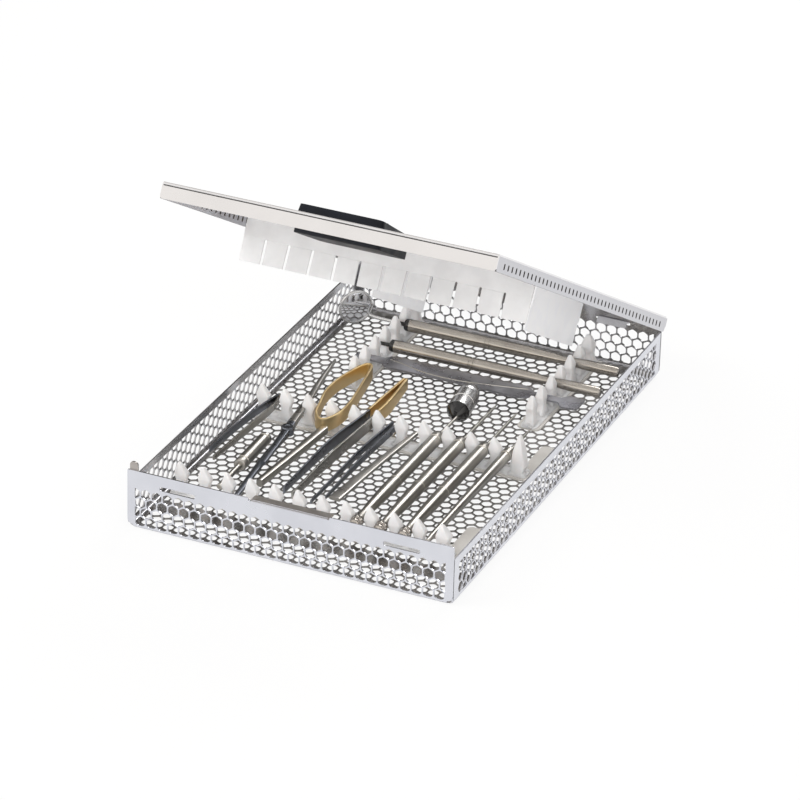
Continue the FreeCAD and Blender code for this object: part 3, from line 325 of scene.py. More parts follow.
# Painted shade: the rear and left walls, seen from inside, get a darker copy of the tray steel.
shaded_steel = finish("shaded_steel", (0.56, 0.56, 0.58), (0.49, 0.49, 0.51), 1, 0.20, 0.08)
wall_piece("rear_wall", [plain_end] + end_holes + slot_loops, HALF_W - 3, 180, (0, HALF_D, 0), shaded_steel)

SIDE_COLUMNS, SIDE_ROWS = 50, 3
SIDE_FIELD_FOOT = 3.1
side_half = side_high[1]
side_start = -field_depth(SIDE_COLUMNS) / 2
side_loops = [rectangle_loop(-side_half, side_half, BEND, SIDE_TOP, (0, 0, 1.2, 1.2))]
side_loops += hexagon_loops(SIDE_FIELD_FOOT, side_start, SIDE_ROWS, SIDE_COLUMNS, turned=True)
for side, node, material in ((-1, "left_wall", shaded_steel), (1, "right_wall", tray_steel)):
    wall_piece(node, side_loops, HALF_D - 2.2, 90 * side, (HALF_W * side, 0, 0), material)

# The walls only meet at the corners; a thin dark strip of painted shade runs up each one for the shaded gap
# between them.
seam_shade_steel = finish("seam_shade_steel", (0.10, 0.10, 0.10), (0.06, 0.06, 0.06), 1, 0.40, 0.10)
seam_shade_points, seam_shade_faces = sheet_between([rectangle_loop(-0.30, 0.30, BEND + 0.5, SIDE_TOP)], 0.06)
for side in (-1, 1):
    for end in (-1, 1):
        points = np.c_[
            side * (HALF_W - 0.02 + seam_shade_points[:, 2]),
            end * (HALF_D - SHEET - 0.3) + seam_shade_points[:, 0] * -side, seam_shade_points[:, 1]
        ]
        name = "corner_seam_%s_%s" % ("left" if side < 0 else "right", "front" if end < 0 else "rear")
        add_piece(name, points, [face[::-1] for face in seam_shade_faces], "tray", "tray_steel", seam_shade_steel)


# Catch lip and corner ear: folded tabs of the same sheet on the front wall. The latch's bolt
# grips under the lip, whose front edge is rolled into two fine beads.

# Painted shade: the lip and the ear get a darker copy of the sheet's steel.
lip_shade_steel = finish("lip_shade_steel", (0.50, 0.47, 0.44), (0.40, 0.37, 0.35), 1, 0.26, 0.10)
for node in ("catch_lip", "corner_ear"):
    finish_node(node, lip_shade_steel)


def grid_faces(rows, columns, closed=True):
    """Quads of a grid whose points run row by row; a closed grid joins its last column to its
    first, and both end rows are closed by one face each."""
    i, j = np.meshgrid(np.arange(rows - 1), np.arange(columns if closed else columns - 1), indexing="ij")
    a = (i * columns + j).ravel()
    b = (i * columns + (j + 1) % columns).ravel()
    quads = np.c_[a, b, b + columns, a + columns].tolist()
    if closed:
        quads += [list(range(columns))[::-1], list(range((rows - 1) * columns, rows * columns))]
    return quads


def bead_piece(half_length, radius_y, radius_z, y, z):
    """A fine rolled edge along X: an ellipse carried from end to end."""
    turn = np.linspace(0, 2 * math.pi, 12, endpoint=False)
    points = [
        (u, y + radius_y * math.cos(a), z + radius_z * math.sin(a)) for u in (-half_length, half_length)
        for a in turn
    ]
    return np.array(points), grid_faces(2, 12)


lip_high = box_mm("catch_lip")[1]
for number, setback in enumerate((0.45, 1.75)):
    points, faces = bead_piece(lip_high[0] - 0.6, 0.34, 0.30, -HALF_D + setback, lip_high[2])
    add_piece("catch_lip_bead_%d" % (number + 1), points, faces, "tray", "tray_steel", tray_steel)


# Racks: moulded from milky silicone and pushed on flat rails that are welded to the floor, whose
# ends look as pale. Each rack is a row of spade-shaped fingers that grow from one flared foot.

def superellipse(turn, power):
    """Unit closed curve between a circle, power 1, and a square, power near 0."""
    c, s = np.cos(turn), np.sin(turn)
    return np.sign(c) * np.abs(c) ** power, np.sign(s) * np.abs(s) ** power


def finger(foot, neck, top, widest, thick, spread, lean=0.0, tent=False):
    """A spade finger. Its half width falls from the flared foot to the neck, widens to the
    shoulder and closes in two straight slopes to a blunt apex; each height is one squarish
    superellipse ring, and the thickness goes the same way with less change. Above the shoulder
    the rings shift evenly by lean. A tent has no neck: it narrows evenly from foot to apex."""
    rise = top - neck
    level = [foot, foot + 0.5, foot + 1.2, foot + 2.2, neck - 0.6, neck + 0.4]
    level += [neck + share * rise for share in (0.18, 0.34, 0.44, 0.50, 0.64, 0.78, 0.91, 0.97)] + [top]
    half_w = [spread * share for share in (1, 0.97, 0.80, 0.60)]
    half_w += [widest * share for share in (0.70, 0.66, 0.74, 0.92, 1, 0.97, 0.75, 0.52, 0.31, 0.20, 0.06)]
    if tent:
        half_w[4:] = [4.6, 4.1, 3.6, 3.2, 2.9, 2.7, 2.1, 1.5, 0.9, 0.6, 0.2]
    half_t = [thick * share for share in (1.40, 1.38, 1.25, 1.12, 1, 0.94, 0.96)]
    half_t += [thick * share for share in (1, 1, 0.98, 0.84, 0.68, 0.50, 0.36, 0.08)]
    turn = np.linspace(0, 2 * math.pi, 28, endpoint=False) + 0.11
    cu, cv = superellipse(turn, 0.36)
    shoulder = neck + 0.44 * rise
    shift = lean * np.clip((np.array(level) - shoulder) / (top - shoulder), 0, 1)
    u = np.array(half_w)[:, None] * cu + shift[:, None]
    v = np.array(half_t)[:, None] * cv
    z = np.repeat(level, len(turn)).reshape(u.shape)
    return np.stack([u, v, z], axis=2).reshape(-1, 3), grid_faces(len(level), len(turn))


def foot_web(length, half_width, low, high):
    """The web between the fingers: a low bell section carried along the rack; the half width
    falls from the foot to the crest as one minus a sine, and the ends are rounded off."""
    along = length / 2 * np.sin(np.linspace(-math.pi / 2, math.pi / 2, 31))
    t = np.linspace(-1, 1, 15)
    height = low + 0.4 + (high - low - 0.4) * (1 - np.abs(t) ** 0.8)
    section_v = np.r_[-half_width, half_width * np.sign(t) * np.abs(t) ** 1.3, half_width]
    section_z = np.r_[low, height, low]
    narrow = np.clip(1 - (np.abs(along) / (length / 2)) ** 24, 0, 1) ** 0.5 * 0.5 + 0.5
    v = narrow[:, None] * section_v[None, :]
    u = np.repeat(along, len(section_v)).reshape(v.shape)
    z = np.tile(section_z, (len(along), 1))
    faces = [face[::-1] for face in grid_faces(len(along), len(section_v))]
    return np.stack([u, v, z], axis=2).reshape(-1, 3), faces


def joined(parts):
    """Several closed shapes as one list of points and faces."""
    points, faces, start = [], [], 0
    for part_points, part_faces in parts:
        points.append(part_points)
        faces += [[k + start for k in face] for face in part_faces]
        start += len(part_points)
    return np.concatenate(points), faces


def soften(material, share, depth, clear):
    """Lets light into a silicone: how much of it, how deep in metres, and how much passes."""
    soft = material.node_tree.nodes["Principled BSDF"].inputs
    soft["Subsurface Weight"].default_value = share
    soft["Subsurface Radius"].default_value = (1.0, 0.9, 0.85)
    soft["Subsurface Scale"].default_value = depth
    soft["Transmission Weight"].default_value = clear
    return soft


silicone = finish(
    "milky_silicone", (0.92, 0.91, 0.91), (0.86, 0.85, 0.86), 0, 0.40, 0.12, 500.0, 0.00003, 130.0
)
soften(silicone, 0.45, 0.004, 0.10)["IOR"].default_value = 1.41
rail_silicone = finish("rail_silicone", (0.66, 0.64, 0.61), (0.56, 0.54, 0.51), 0, 0.40, 0.12)
for node in ("front_rail", "middle_rail", "rear_left_rail", "rear_right_rail"):
    finish_node(node, rail_silicone)

FINGER_PITCH = 13.35
REAR_PITCH = 13.2
NECK_LEVEL = 7.4
# Each rack has its node, its run, its count of fingers, their pitch, and by how much its last
# finger rises over the others.
RACKS = [
    ("front_rack", "x", 12, FINGER_PITCH, 0.0),
    ("middle_rack", "x", 12, FINGER_PITCH, 5.0),
    ("rear_left_rack", "y", 7, REAR_PITCH, 0.5),
    ("rear_right_rack", "y", 7, REAR_PITCH, 0.5),
]
for node, run, count, pitch, rise in RACKS:
    low, high = box_mm(node)
    k = 0 if run == "x" else 1
    length = high[k] - low[k]
    lead = (length - (count - 1) * pitch) / 2
    broad = (high[1 - k] - low[1 - k]) / 2
    parts = [foot_web(length, broad * 0.8, low[2], low[2] + 2.2)]
    for number in range(count):
        last = number == count - 1
        top = high[2] - (0 if last else rise)
        widest, thick, spread = (3.9, 3.4, 6.4) if last else (3.65, 2.45, 6.0)
        if last or number == 0:
            spread = min(spread, lead)
        lean = -1.5 if run == "x" and not (last and rise) else 0.0
        spade, spade_faces = finger(low[2], NECK_LEVEL, top, widest, thick, spread, lean, last and rise > 1)
        parts.append((spade + np.array([-length / 2 + lead + number * pitch, 0, 0]), spade_faces))
    points, faces = joined(parts)
    if run == "y":
        points = points[:, [1, 0, 2]] * np.array([-1, 1, 1])
    centre = (low + high) / 2
    add_piece(
        node + "_soft", points + np.array([centre[0], centre[1], 0]), faces, "tray", "silicone",
        silicone, [node]
    )


# Lid: a shallow pan of the same perforated sheet with plain or slit flanges. It is worked out
# closed and then swung open about the two hooks of its rear flange, which hang in wall slots.

hinge = [joint for joint in frame["joints"] if joint["name"] == "lid_hinge"][0]
OPEN_ANGLE = math.radians(-hinge["range_deg"][0])
PIVOT = np.array(hinge["pos_m"]) * 1000
LID_GAP = 0.3
LID_X = HALF_W + LID_GAP + SHEET
LID_Y = HALF_D + LID_GAP + SHEET
LID_UNDER = END_TOP + LID_GAP
LID_TOP = LID_UNDER + SHEET
FLANGE_FOOT = LID_TOP - 8.5
# Painted light: the lid's plate, front flange and bead get a lighter copy of the sheet's steel.
lid_steel = finish("lid_steel", (0.86, 0.85, 0.86), (0.82, 0.81, 0.82), 1, 0.20, 0.08)


def swung_open(points):
    """Turns points of the closed lid about the hinge line until the lid stands as stored."""
    c, s = math.cos(OPEN_ANGLE), math.sin(OPEN_ANGLE)
    shifted = np.asarray(points, float) - PIVOT
    y = shifted[:, 1] * c + shifted[:, 2] * s
    z = shifted[:, 2] * c - shifted[:, 1] * s
    return np.c_[shifted[:, 0], y, z] + PIVOT


def lid_piece(name, points, faces, replaced=(), slot="lid_steel", material=lid_steel):
    """A piece of the lid, given closed."""
    return add_piece(name, swung_open(points), faces, "lid", slot, material, replaced)


LATCH_HALF = 23.6
LATCH_FRONT = -128.0
LATCH_REAR = -84.0
LATCH_MARGIN = 3
LID_MARGIN = 12
lid_rows = int((2 * LID_Y - LID_MARGIN) // ROW_PITCH)
lid_start = -field_depth(lid_rows) / 2
lid_holes = [
    hole for hole in hexagon_loops(centred(END_COLUMNS), lid_start, END_COLUMNS, lid_rows)
    if np.abs(hole[:, 0]).min() >= LATCH_HALF + LATCH_MARGIN or hole[:, 1].min() >= LATCH_REAR + LATCH_MARGIN
]
# The corner ear stands in a slot of its own when the lid is closed.
EAR_LEFT = -HALF_W + SHEET + LID_GAP
EAR_RIGHT = EAR_LEFT + 4.6
EAR_FIT = 0.6
ear_slot = rectangle_loop(
    EAR_LEFT - EAR_FIT, EAR_RIGHT + EAR_FIT, -HALF_D + SHEET - EAR_FIT, -HALF_D + 2 * SHEET + EAR_FIT
)
lid_outline = rectangle_loop(-LID_X, LID_X, -LID_Y, LID_Y, (1.5, 1.5, 3.0, 3.0))
points, faces = sheet_between([lid_outline, ear_slot] + lid_holes, SHEET)
lid_piece("lid_plate_sheet", points + np.array([0, 0, LID_UNDER]), faces, ["lid_plate"])

# The side flanges carry a row of upright slits, whose dull cut edges get a dark colour of painted shade.
SLIT_COUNT = 44
SLIT_HALF = 0.9
SLIT_FOOT, SLIT_HEAD = FLANGE_FOOT + 1.9, FLANGE_FOOT + 5.0
SLIT_PITCH = (2 * LID_Y - 16) / SLIT_COUNT
slit_u = (np.arange(SLIT_COUNT) - (SLIT_COUNT - 1) / 2) * SLIT_PITCH
# Painted shade: the side flanges get a darker copy of the lid's steel.
flange_shade_steel = finish("flange_shade_steel", (0.62, 0.62, 0.65), (0.58, 0.58, 0.61), 1, 0.26, 0.08)
slit_edge_shade = finish("slit_edge_shade", (0.12, 0.11, 0.10), (0.07, 0.065, 0.06), 1, 0.45, 0.10)
slits = [rectangle_loop(u - SLIT_HALF, u + SLIT_HALF, SLIT_FOOT, SLIT_HEAD, (0.7,) * 4) for u in slit_u]
for side, node in ((-1, "lid_left_flange"), (1, "lid_right_flange")):
    half = LID_Y - SHEET
    radii = (3.0, 0.8, 0, 0) if side < 0 else (0.8, 3.0, 0, 0)
    flat, faces = sheet_between([rectangle_loop(-half, half, FLANGE_FOOT, LID_UNDER, radii)] + slits, SHEET)
    points = np.c_[LID_X * side - side * flat[:, 2], side * flat[:, 0], flat[:, 1]]
    flange = lid_piece(node + "_sheet", points, [face[::-1] for face in faces], [node], material=flange_shade_steel)
    # Painted shade: the slit walls and the flanges' rims, which do not face sideways, take the dark second
    # finish.
    flange.data.materials.append(slit_edge_shade)
    normal = np.empty(3 * len(flange.data.polygons), dtype=np.float32)
    flange.data.polygons.foreach_get("normal", normal)
    flange.data.polygons.foreach_set("material_index", (np.abs(normal[0::3]) < 0.5).astype(np.int32))
finish_node("lid_front_flange", lid_steel)
# Painted shade: the rear flange, whose hooks hang in the wall slots, gets the darker shaded steel.
finish_node("lid_rear_flange", shaded_steel)

# The front edge is hemmed: the sheet is folded over the plate's edge, which leaves a rounded
# bead along the top; under it a thin dark strip of painted shade stands for the shaded seam.
points, faces = bead_piece(LID_X - 0.5, 0.45, 0.62, -LID_Y - 0.02, LID_TOP - 0.66)
lid_piece("lid_front_bead", points, faces)
flat, faces = sheet_between([rectangle_loop(-LID_X + 0.6, LID_X - 0.6, LID_TOP - 1.85, LID_TOP - 1.35)], 0.08)
points = np.c_[flat[:, 0], flat[:, 2] - LID_Y - 0.08, flat[:, 1]]
lid_piece("lid_front_seam_shade", points, [face[::-1] for face in faces], material=seam_shade_steel)


# Hold-down strips: cut from soft white silicone sheet and clipped under the lid. The comb's slots
# let each tab give way over its own instrument; closing the lid presses all three flat.

STRIP_DROP = 26.0
COMB_Y = -50.0
COMB_HALF = 80.4
STRIP_X = 44.2
STRIP_SPAN = (54.0, 134.0)
STEP_RISE = 13.0
strip_foot = LID_UNDER - STRIP_DROP
strip_head = LID_UNDER - 0.3
step_level = strip_foot + STEP_RISE
step_foot = step_level - 0.4
strip_silicone = finish(
    "strip_silicone", (0.79, 0.79, 0.80), (0.72, 0.72, 0.73), 0, 0.42, 0.10, 600.0, 0.00002, 90.0
)
soften(strip_silicone, 0.30, 0.003, 0.06)
# The side strips are lit through from behind, which a faint glow stands for.
side_silicone = strip_silicone.copy()
side_silicone.name = "side_silicone"
lit = side_silicone.node_tree.nodes["Principled BSDF"].inputs
lit["Emission Color"].default_value = (0.96, 0.97, 1, 1)
lit["Emission Strength"].default_value = 0.22


def strip_piece(node, loop, place, material=strip_silicone):
    """A hanging strip between its two skins: half as thick below its step, with a slow wave
    that grows as the square of the depth."""
    flat, faces = sheet_between([np.array(loop)], 1.0)
    depth = np.clip((LID_UNDER - flat[:, 1]) / STRIP_DROP, 0, 1)
    wave = 0.9 * depth ** 2 * np.sin(flat[:, 0] / 11.0) + 0.4 * depth * np.sin(flat[:, 0] / 27.0 + 1)
    share = np.where(flat[:, 1] < step_foot, 0.5, 1.0)
    points = place(flat[:, 0], (flat[:, 2] - 0.5) * 1.6 * share + wave, flat[:, 1])
    piece = lid_piece(node + "_soft", points, faces, [node], "silicone", material)
    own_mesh(piece)


def stepped_side(u, downwards):
    """Points down or up one upright edge of a strip, with two at its step."""
    levels = [strip_head, step_level + 0.4, step_foot, strip_foot]
    return [(u, z) for z in (levels if downwards else levels[::-1])]


comb_slots = (np.arange(11) - 5) * FINGER_PITCH - 1.0
comb_loop = [(-COMB_HALF, strip_foot)]
for x in comb_slots:
    comb_loop += [(x - 0.75, strip_foot), (x - 0.75, step_foot), (x - 0.5, step_level)]
    comb_loop += [(x + 0.5, step_level), (x + 0.75, step_foot), (x + 0.75, strip_foot)]
comb_loop += stepped_side(COMB_HALF, False)
comb_loop += [(x, strip_head) for x in np.linspace(COMB_HALF - 5, -COMB_HALF + 5, 30)]
comb_loop += stepped_side(-COMB_HALF, True)[:-1]
strip_piece("hold_down_comb", comb_loop, lambda u, v, z: np.c_[u, COMB_Y - v, z])
side_loop = [(u, strip_foot) for u in np.linspace(*STRIP_SPAN, 17)]
side_loop += stepped_side(STRIP_SPAN[1], False)[1:-1]
side_loop += [(u, strip_head) for u in np.linspace(*STRIP_SPAN[::-1], 17)]
side_loop += stepped_side(STRIP_SPAN[0], True)[1:-1]
for x, node in ((-STRIP_X, "left_hold_down"), (STRIP_X, "right_hold_down")):
    strip_piece(
        node, side_loop, lambda u, v, z, x=x: np.c_[x + v, u, z], side_silicone
    )


# Latch: a black glass-filled nylon housing clamped through the lid. The cover is a wedge that
# slopes down to the rear round an open well, in which the slide's ribbed grip moves.

latch_plastic = finish(
    "latch_plastic", (0.010, 0.012, 0.018), (0.006, 0.007, 0.010), 0, 0.38, 0.14, 2500.0, 0.00005, 90.0
)
latch_plastic.node_tree.nodes["Principled BSDF"].inputs["Specular IOR Level"].default_value = 0.2
for node in ("latch_body", "latch_slide"):
    finish_node(node, latch_plastic)
COVER_FRONT_RISE = 4.6
COVER_REAR_RISE = 1.5
WELL = (-14.1, 14.1, -117.5, -96.5)
plan = rectangle_loop(-LATCH_HALF, LATCH_HALF, LATCH_FRONT, LATCH_REAR, (4.0, 4.0, 7.0, 7.0), 9)
well = rectangle_loop(*WELL, (2.0,) * 4)
flat, faces = sheet_between([plan, well], 1.0)
slope = (flat[:, 1] - LATCH_FRONT) / (LATCH_REAR - LATCH_FRONT)
rise = COVER_FRONT_RISE + (COVER_REAR_RISE - COVER_FRONT_RISE) * slope
points = np.c_[flat[:, 0] * (1 - 0.03 * flat[:, 2]), flat[:, 1], LID_TOP + flat[:, 2] * rise]
left, right, front, rear = WELL
well_floor = rectangle_loop(left - 0.5, right + 0.5, front - 0.5, rear + 0.5)
stem_slot = rectangle_loop(-8.4, 8.4, front + 1.5, rear - 1.5, (1.0,) * 4)
floor_flat, floor_faces = sheet_between([well_floor, stem_slot], 0.5)
floor_points = floor_flat + np.array([0, 0, LID_TOP])
points, faces = joined([(points, faces), (floor_points, floor_faces)])
cover = lid_piece("latch_cover_moulded", points, faces, ["latch_cover"], "latch_plastic", latch_plastic)
edges = cover.modifiers.new("edges", "BEVEL")
edges.width = 0.0006
edges.segments = 3
edges.limit_method = "ANGLE"
edges.angle_limit = math.radians(50)


# Round-handled instruments lie across the front and middle racks. Each is turned from one
# stainless bar: knurled chuck rings, a satin grip that swells to the rear, and a thin shaft.

def turned(profile, start, direction, knurl=None, sides=40):
    """Surface of revolution about a straight axis: a station along the axis and its radius make
    one ring, and knurl adds to each ring a share of its radius times the cosine of twelve turns."""
    stations, radii = np.array(profile, float).T
    turn = np.linspace(0, 2 * math.pi, sides, endpoint=False)
    depth = np.zeros(len(radii)) if knurl is None else np.interp(stations, *knurl)
    radius = radii[:, None] * (1 + depth[:, None] * np.cos(12 * turn))
    along = np.array(direction, float) / np.linalg.norm(direction)
    side = np.cross(along, (0, 0, 1)) if abs(along[2]) < 0.9 else np.cross(along, (1, 0, 0))
    side = side / np.linalg.norm(side)
    rise = np.cross(side, along)
    ring = radius[..., None] * (np.cos(turn)[:, None] * side + np.sin(turn)[:, None] * rise)
    points = np.array(start, float) + stations[:, None, None] * along + ring
    return points.reshape(-1, 3), [face[::-1] for face in grid_faces(len(stations), sides)]


AXIS_LEVEL = 11.1
HANDLE = 3.5
FRONT_RACK_Y = -98.0
MIDDLE_RACK_Y = -1.0
FIRST_FINGER_X = -80.0
satin_steel = finish("satin_steel", (0.84, 0.81, 0.75), (0.76, 0.73, 0.67), 1, 0.28, 0.08, rim=0.10)
polished_steel = finish("polished_steel", (0.95, 0.95, 0.95), (0.90, 0.90, 0.90), 1, 0.24, 0.04, rim=0.30)


def gap_x(number):
    """Middle of a gap between two fingers of the front and middle racks."""
    return FIRST_FINGER_X + (number + 0.5) * FINGER_PITCH


def instrument(name, shape, material, replaced=(), slot="instrument_steel"):
    """A piece of an instrument, which lies in the tray; shape holds its points and faces."""
    add_piece(name, *shape, "tray", slot, material, replaced)


CHUCK = [
    (0, 0.9), (0.2, 1.7), (0.9, 2.5), (1.3, 2.75), (2.6, 2.75), (2.9, 2.2), (3.5, 2.2), (3.8, 2.9),
    (4.2, 3.05), (6.4, 3.05), (6.8, 2.8), (7.0, 1.9), (7.2, 1.6)
]


def handle_profile(length):
    """Stations and radii behind the chuck: a neck that swells as a quarter sine to the full
    grip, a fine ring mark, the grip, and a rounded end collar."""
    r = HANDLE
    swell = np.linspace(0, 1, 9)
    neck = [(9.5 + s * (0.40 * length - 9.5), 2.1 + (r - 2.1) * math.sin(s * math.pi / 2)) for s in swell]
    mark = 0.47 * length
    return [
        (7.0, 1.2), (7.1, 1.9), (9.0, 1.9), *neck,
        (mark, r), (mark + 0.15, r - 0.18), (mark + 0.75, r - 0.18), (mark + 0.9, r),
        (length - 7.6, r), (length - 7.4, r - 0.35), (length - 6.8, r - 0.35), (length - 6.6, r),
        (length - 3.0, r), (length - 1.6, r - 0.35), (length - 0.6, r - 1.1), (length, r - 2.0),
    ]


handle_front = FRONT_RACK_Y - 8
handle_length = MIDDLE_RACK_Y - handle_front + 3.5
chuck_knurl = ([0, 3.6, 3.8, 6.5, 6.9, 200], [0.03, 0.03, 0.06, 0.06, 0, 0])
# Painted reflection: the chucks get a darker, browner copy of the polished steel for the dark surroundings
# they mirror.
chuck_reflection_steel = finish("chuck_reflection_steel", (0.70, 0.65, 0.60), (0.56, 0.52, 0.47), 1, 0.12, 0.06, rim=0.05)
head_steel = finish("head_steel", (0.10, 0.10, 0.10), (0.06, 0.06, 0.06), 1, 0.06, 0.04)
shafts = {
    1: [(handle_length, 1.1), (handle_length + 24, 0.8)],
    2: [(handle_length, 1.1), (handle_length + 38, 0.8), (handle_length + 44, 0.35)],
    3: [(handle_length, 1.1), (handle_length + 34, 0.8), (handle_length + 40, 0.35)],
}
for number, shaft in shafts.items():
    name, start = "round_handle_%d" % number, (gap_x(number + 6), handle_front, AXIS_LEVEL)
    grip = turned(handle_profile(handle_length) + shaft, start, (0, 1, 0))
    instrument(name + "_turned", grip, satin_steel, [name])
    instrument(name + "_chuck", turned(CHUCK, start, (0, 1, 0), chuck_knurl, 72), chuck_reflection_steel)

# A polished head with a dark nose sits on the first handle's shaft.
head_start = (gap_x(7) - 1.0, handle_front + handle_length + 22, AXIS_LEVEL)
head_turn = (-0.14, 1, 0)
nose = [(0, 0.8), (0, 1.6), (1, 2.6), (5, 5.6), (6.4, 6.2), (6.4, 5.8)]
instrument("polished_head_nose", turned(nose, head_start, head_turn, sides=56), head_steel)
shell = [
    (6.4, 5.9), (6.5, 6.25), (8, 6.4), (14, 6.4), (14.2, 6.1), (15.4, 6.1), (15.6, 6.4), (22, 6.4),
    (23.4, 6.3), (23.8, 5.8), (24.4, 5.8), (25, 6.1), (28, 5.7), (31, 5.0), (33, 3.4), (33, 0.4)
]
instrument("polished_head_shell", turned(shell, head_start, head_turn, sides=56), polished_steel)

slim = [
    (0, 0.6), (0.3, 1.2), (6, 1.6), (handle_length * 0.5, 2.5), (handle_length - 14, 3.0),
    (handle_length - 9, 3.0), (handle_length - 8.8, 2.7), (handle_length - 8.2, 2.7),
    (handle_length - 8, 3.2), (handle_length - 3, 3.2), (handle_length - 1, 1.3),
    (handle_length + 14, 0.9), (handle_length + 26, 0.3)
]
instrument(
    "slim_handle_turned", turned(slim, (gap_x(10), handle_front + 2, AXIS_LEVEL), (0, 1, 0)),
    satin_steel, ["slim_handle"]
)


# Rear instruments: thick at both ends and tapered to a neck near the right one. The mouth
# mirror's neck plugs into the left end of the rearmost handle.

REAR_GAP_0 = 51.8 + REAR_PITCH / 2
REAR_LEFT = -54.5
REAR_RIGHT = 77.5


def gap_y(number):
    """Middle of a gap between two fingers of the rear racks."""
    return REAR_GAP_0 + number * REAR_PITCH


def double_profile(length):
    """Stations and radii of a double-ended handle with a turned ring at its middle."""
    r = HANDLE
    m = length * 0.42
    return [
        (9.2, 3.0), (9.2, 3.6), (9.8, r), (m - 1, r), (m - 0.8, r - 0.3), (m, r - 0.3), (m + 0.2, r),
        (m + 1.4, r), (m + 1.6, r - 0.3), (m + 2.4, r - 0.3), (m + 2.6, r), (length * 0.60, r),
        (length * 0.70, 2.7), (length * 0.76, 2.2), (length * 0.79, 2.2), (length * 0.82, 2.6),
        (length * 0.86, r - 0.6), (length - 1.5, r - 0.6), (length - 0.4, r - 1.0), (length, r - 1.8)
    ]


# Painted shade: the rear handles get a darker copy of the satin steel, with darker outlines.
rear_shade_steel = finish("rear_shade_steel", (0.66, 0.62, 0.56), (0.56, 0.52, 0.47), 1, 0.16, 0.08, rim=0.03)
END_PLUG = [
    (0, 0.4), (0.4, 1.0), (5.6, 1.2), (6.0, 2.0), (6.6, 3.1), (7.0, 3.4), (8.6, 3.5), (9.3, 3.2),
    (9.3, 2.0)
]
for name, gap, left in (("mirror_handle", 4, REAR_LEFT), ("rear_handle", 2, REAR_LEFT + 3)):
    start = (left, gap_y(gap), AXIS_LEVEL)
    handle = turned(double_profile(REAR_RIGHT - left), start, (1, 0, 0))
    instrument(name + "_turned", handle, rear_shade_steel, [name])
    instrument(name + "_plug", turned(END_PLUG, start, (1, 0, 0)), head_steel)

# Tube handle: a thin steel rod in the front rack that ends in a short, hollow grip.
tube_start = np.array([gap_x(1) + 0.6, FRONT_RACK_Y + 1, 9.2])
tube_end = np.array([gap_x(1) - 1.2, MIDDLE_RACK_Y - 37, 9.2])
t = np.linalg.norm(tube_end - tube_start)
tube = [
    (0, 1.0), (0.4, 1.6), (t - 34, 1.6), (t - 34, 2.4), (t - 33.8, 3.0), (t - 33, 3.5), (t - 30, 3.5),
    (t - 29.7, 3.2), (t - 29, 3.2), (t - 28.7, 3.5), (t - 3, 3.5), (t - 2.8, 3.1), (t - 2.2, 3.1),
    (t - 2, 3.5), (t - 0.3, 3.5), (t, 3.2), (t, 2.6), (t - 2, 2.5)
]
instrument(
    "tube_handle_turned", turned(tube, tube_start, tube_end - tube_start), satin_steel, ["tube_handle"]
)


# Sprung instruments are made from flat bars on edge: tweezers and forceps have two arms joined
# at their rear end. One pair is blued, one has gold-plated ends.

def ribbon(spots, half_thick, half_tall, power=0.35, steps=40, loop=False, sides=16):
    """Bar swept along a smooth curve through its spots. The curve is Catmull-Rom; its section is a
    superellipse, half_thick across and half_tall upwards, each given at even shares of the path."""
    spots = np.array(spots, float)
    n = len(spots)
    ends = (spots[-1:], spots[:2]) if loop else (2 * spots[:1] - spots[1:2], 2 * spots[-1:] - spots[-2:-1])
    wide = np.concatenate([ends[0], spots, ends[1]])
    t = np.linspace(0, n if loop else n - 1, steps, endpoint=not loop)
    k = np.clip(np.floor(t).astype(int), 0, (n - 1) if loop else (n - 2))
    f = (t - k)[:, None]
    a, b, c, d = (wide[k + i] for i in range(4))
    path = 0.5 * (
        2 * b + (c - a) * f + (2 * a - 5 * b + 4 * c - d) * f ** 2 + (3 * b - a - 3 * c + d) * f ** 3
    )
    run = 0.5 * ((c - a) + 2 * (2 * a - 5 * b + 4 * c - d) * f + 3 * (3 * b - a - 3 * c + d) * f ** 2)
    side = np.c_[-run[:, 1], run[:, 0], np.zeros(len(run))]
    side = side / np.linalg.norm(side, axis=1)[:, None]
    share = np.linspace(0, 1, steps)
    thick = np.interp(share, np.linspace(0, 1, len(half_thick)), half_thick)
    tall = np.interp(share, np.linspace(0, 1, len(half_tall)), half_tall)
    cu, cv = superellipse(np.linspace(0, 2 * math.pi, sides, endpoint=False), power)
    ring = path[:, None] + side[:, None] * (thick[:, None] * cu)[..., None]
    ring[..., 2] += tall[:, None] * cv
    faces = grid_faces(steps, sides)
    if loop:
        j = np.arange(sides)
        last = (steps - 1) * sides
        faces = faces[:-2] + np.c_[last + j, last + (j + 1) % sides, (j + 1) % sides, j].tolist()
    return ring.reshape(-1, 3), faces


def bar(level, spots, *sizes, **more):
    """A ribbon whose spots all lie at one level."""
    return ribbon([(x, y, level) for x, y in spots], *sizes, **more)


ARM_LEVEL = 10.4
bright_steel = finish("bright_steel", (0.76, 0.74, 0.70), (0.66, 0.64, 0.60), 1, 0.24, 0.10, rim=0.20)
# The blued steel is the own colour of the fine forceps and the scissor shanks, and painted shade on one arm
# of the tweezers and of the gold-plated forceps.
blued_and_shaded_steel = finish("blued_and_shaded_steel", (0.40, 0.42, 0.48), (0.28, 0.30, 0.34), 1, 0.26, 0.10, rim=0.30)
gold_plate = finish("gold_plate", (1.0, 0.82, 0.50), (0.97, 0.72, 0.36), 1, 0.30, 0.10, rim=0.75)

# Painted shade: the tweezers' left arm gets the blued steel and the right arm the bright steel, though both
# are one steel.
instrument(
    "tweezers_left_arm",
    bar(ARM_LEVEL, [(-80.3, -65), (-78.8, -33), (-76.6, -12), (-73.6, 4.5)], [0.6], [1.4, 2.2, 2.2, 2.2]),
    blued_and_shaded_steel, ["flat_tweezers"], slot="dark_steel"
)
instrument(
    "tweezers_right_arm",
    bar(ARM_LEVEL, [(-74.8, -72), (-72.7, -37), (-71.4, -10), (-73.0, 4.5)], [0.6], [1.4, 2.2, 2.2, 2.2]),
    bright_steel
)

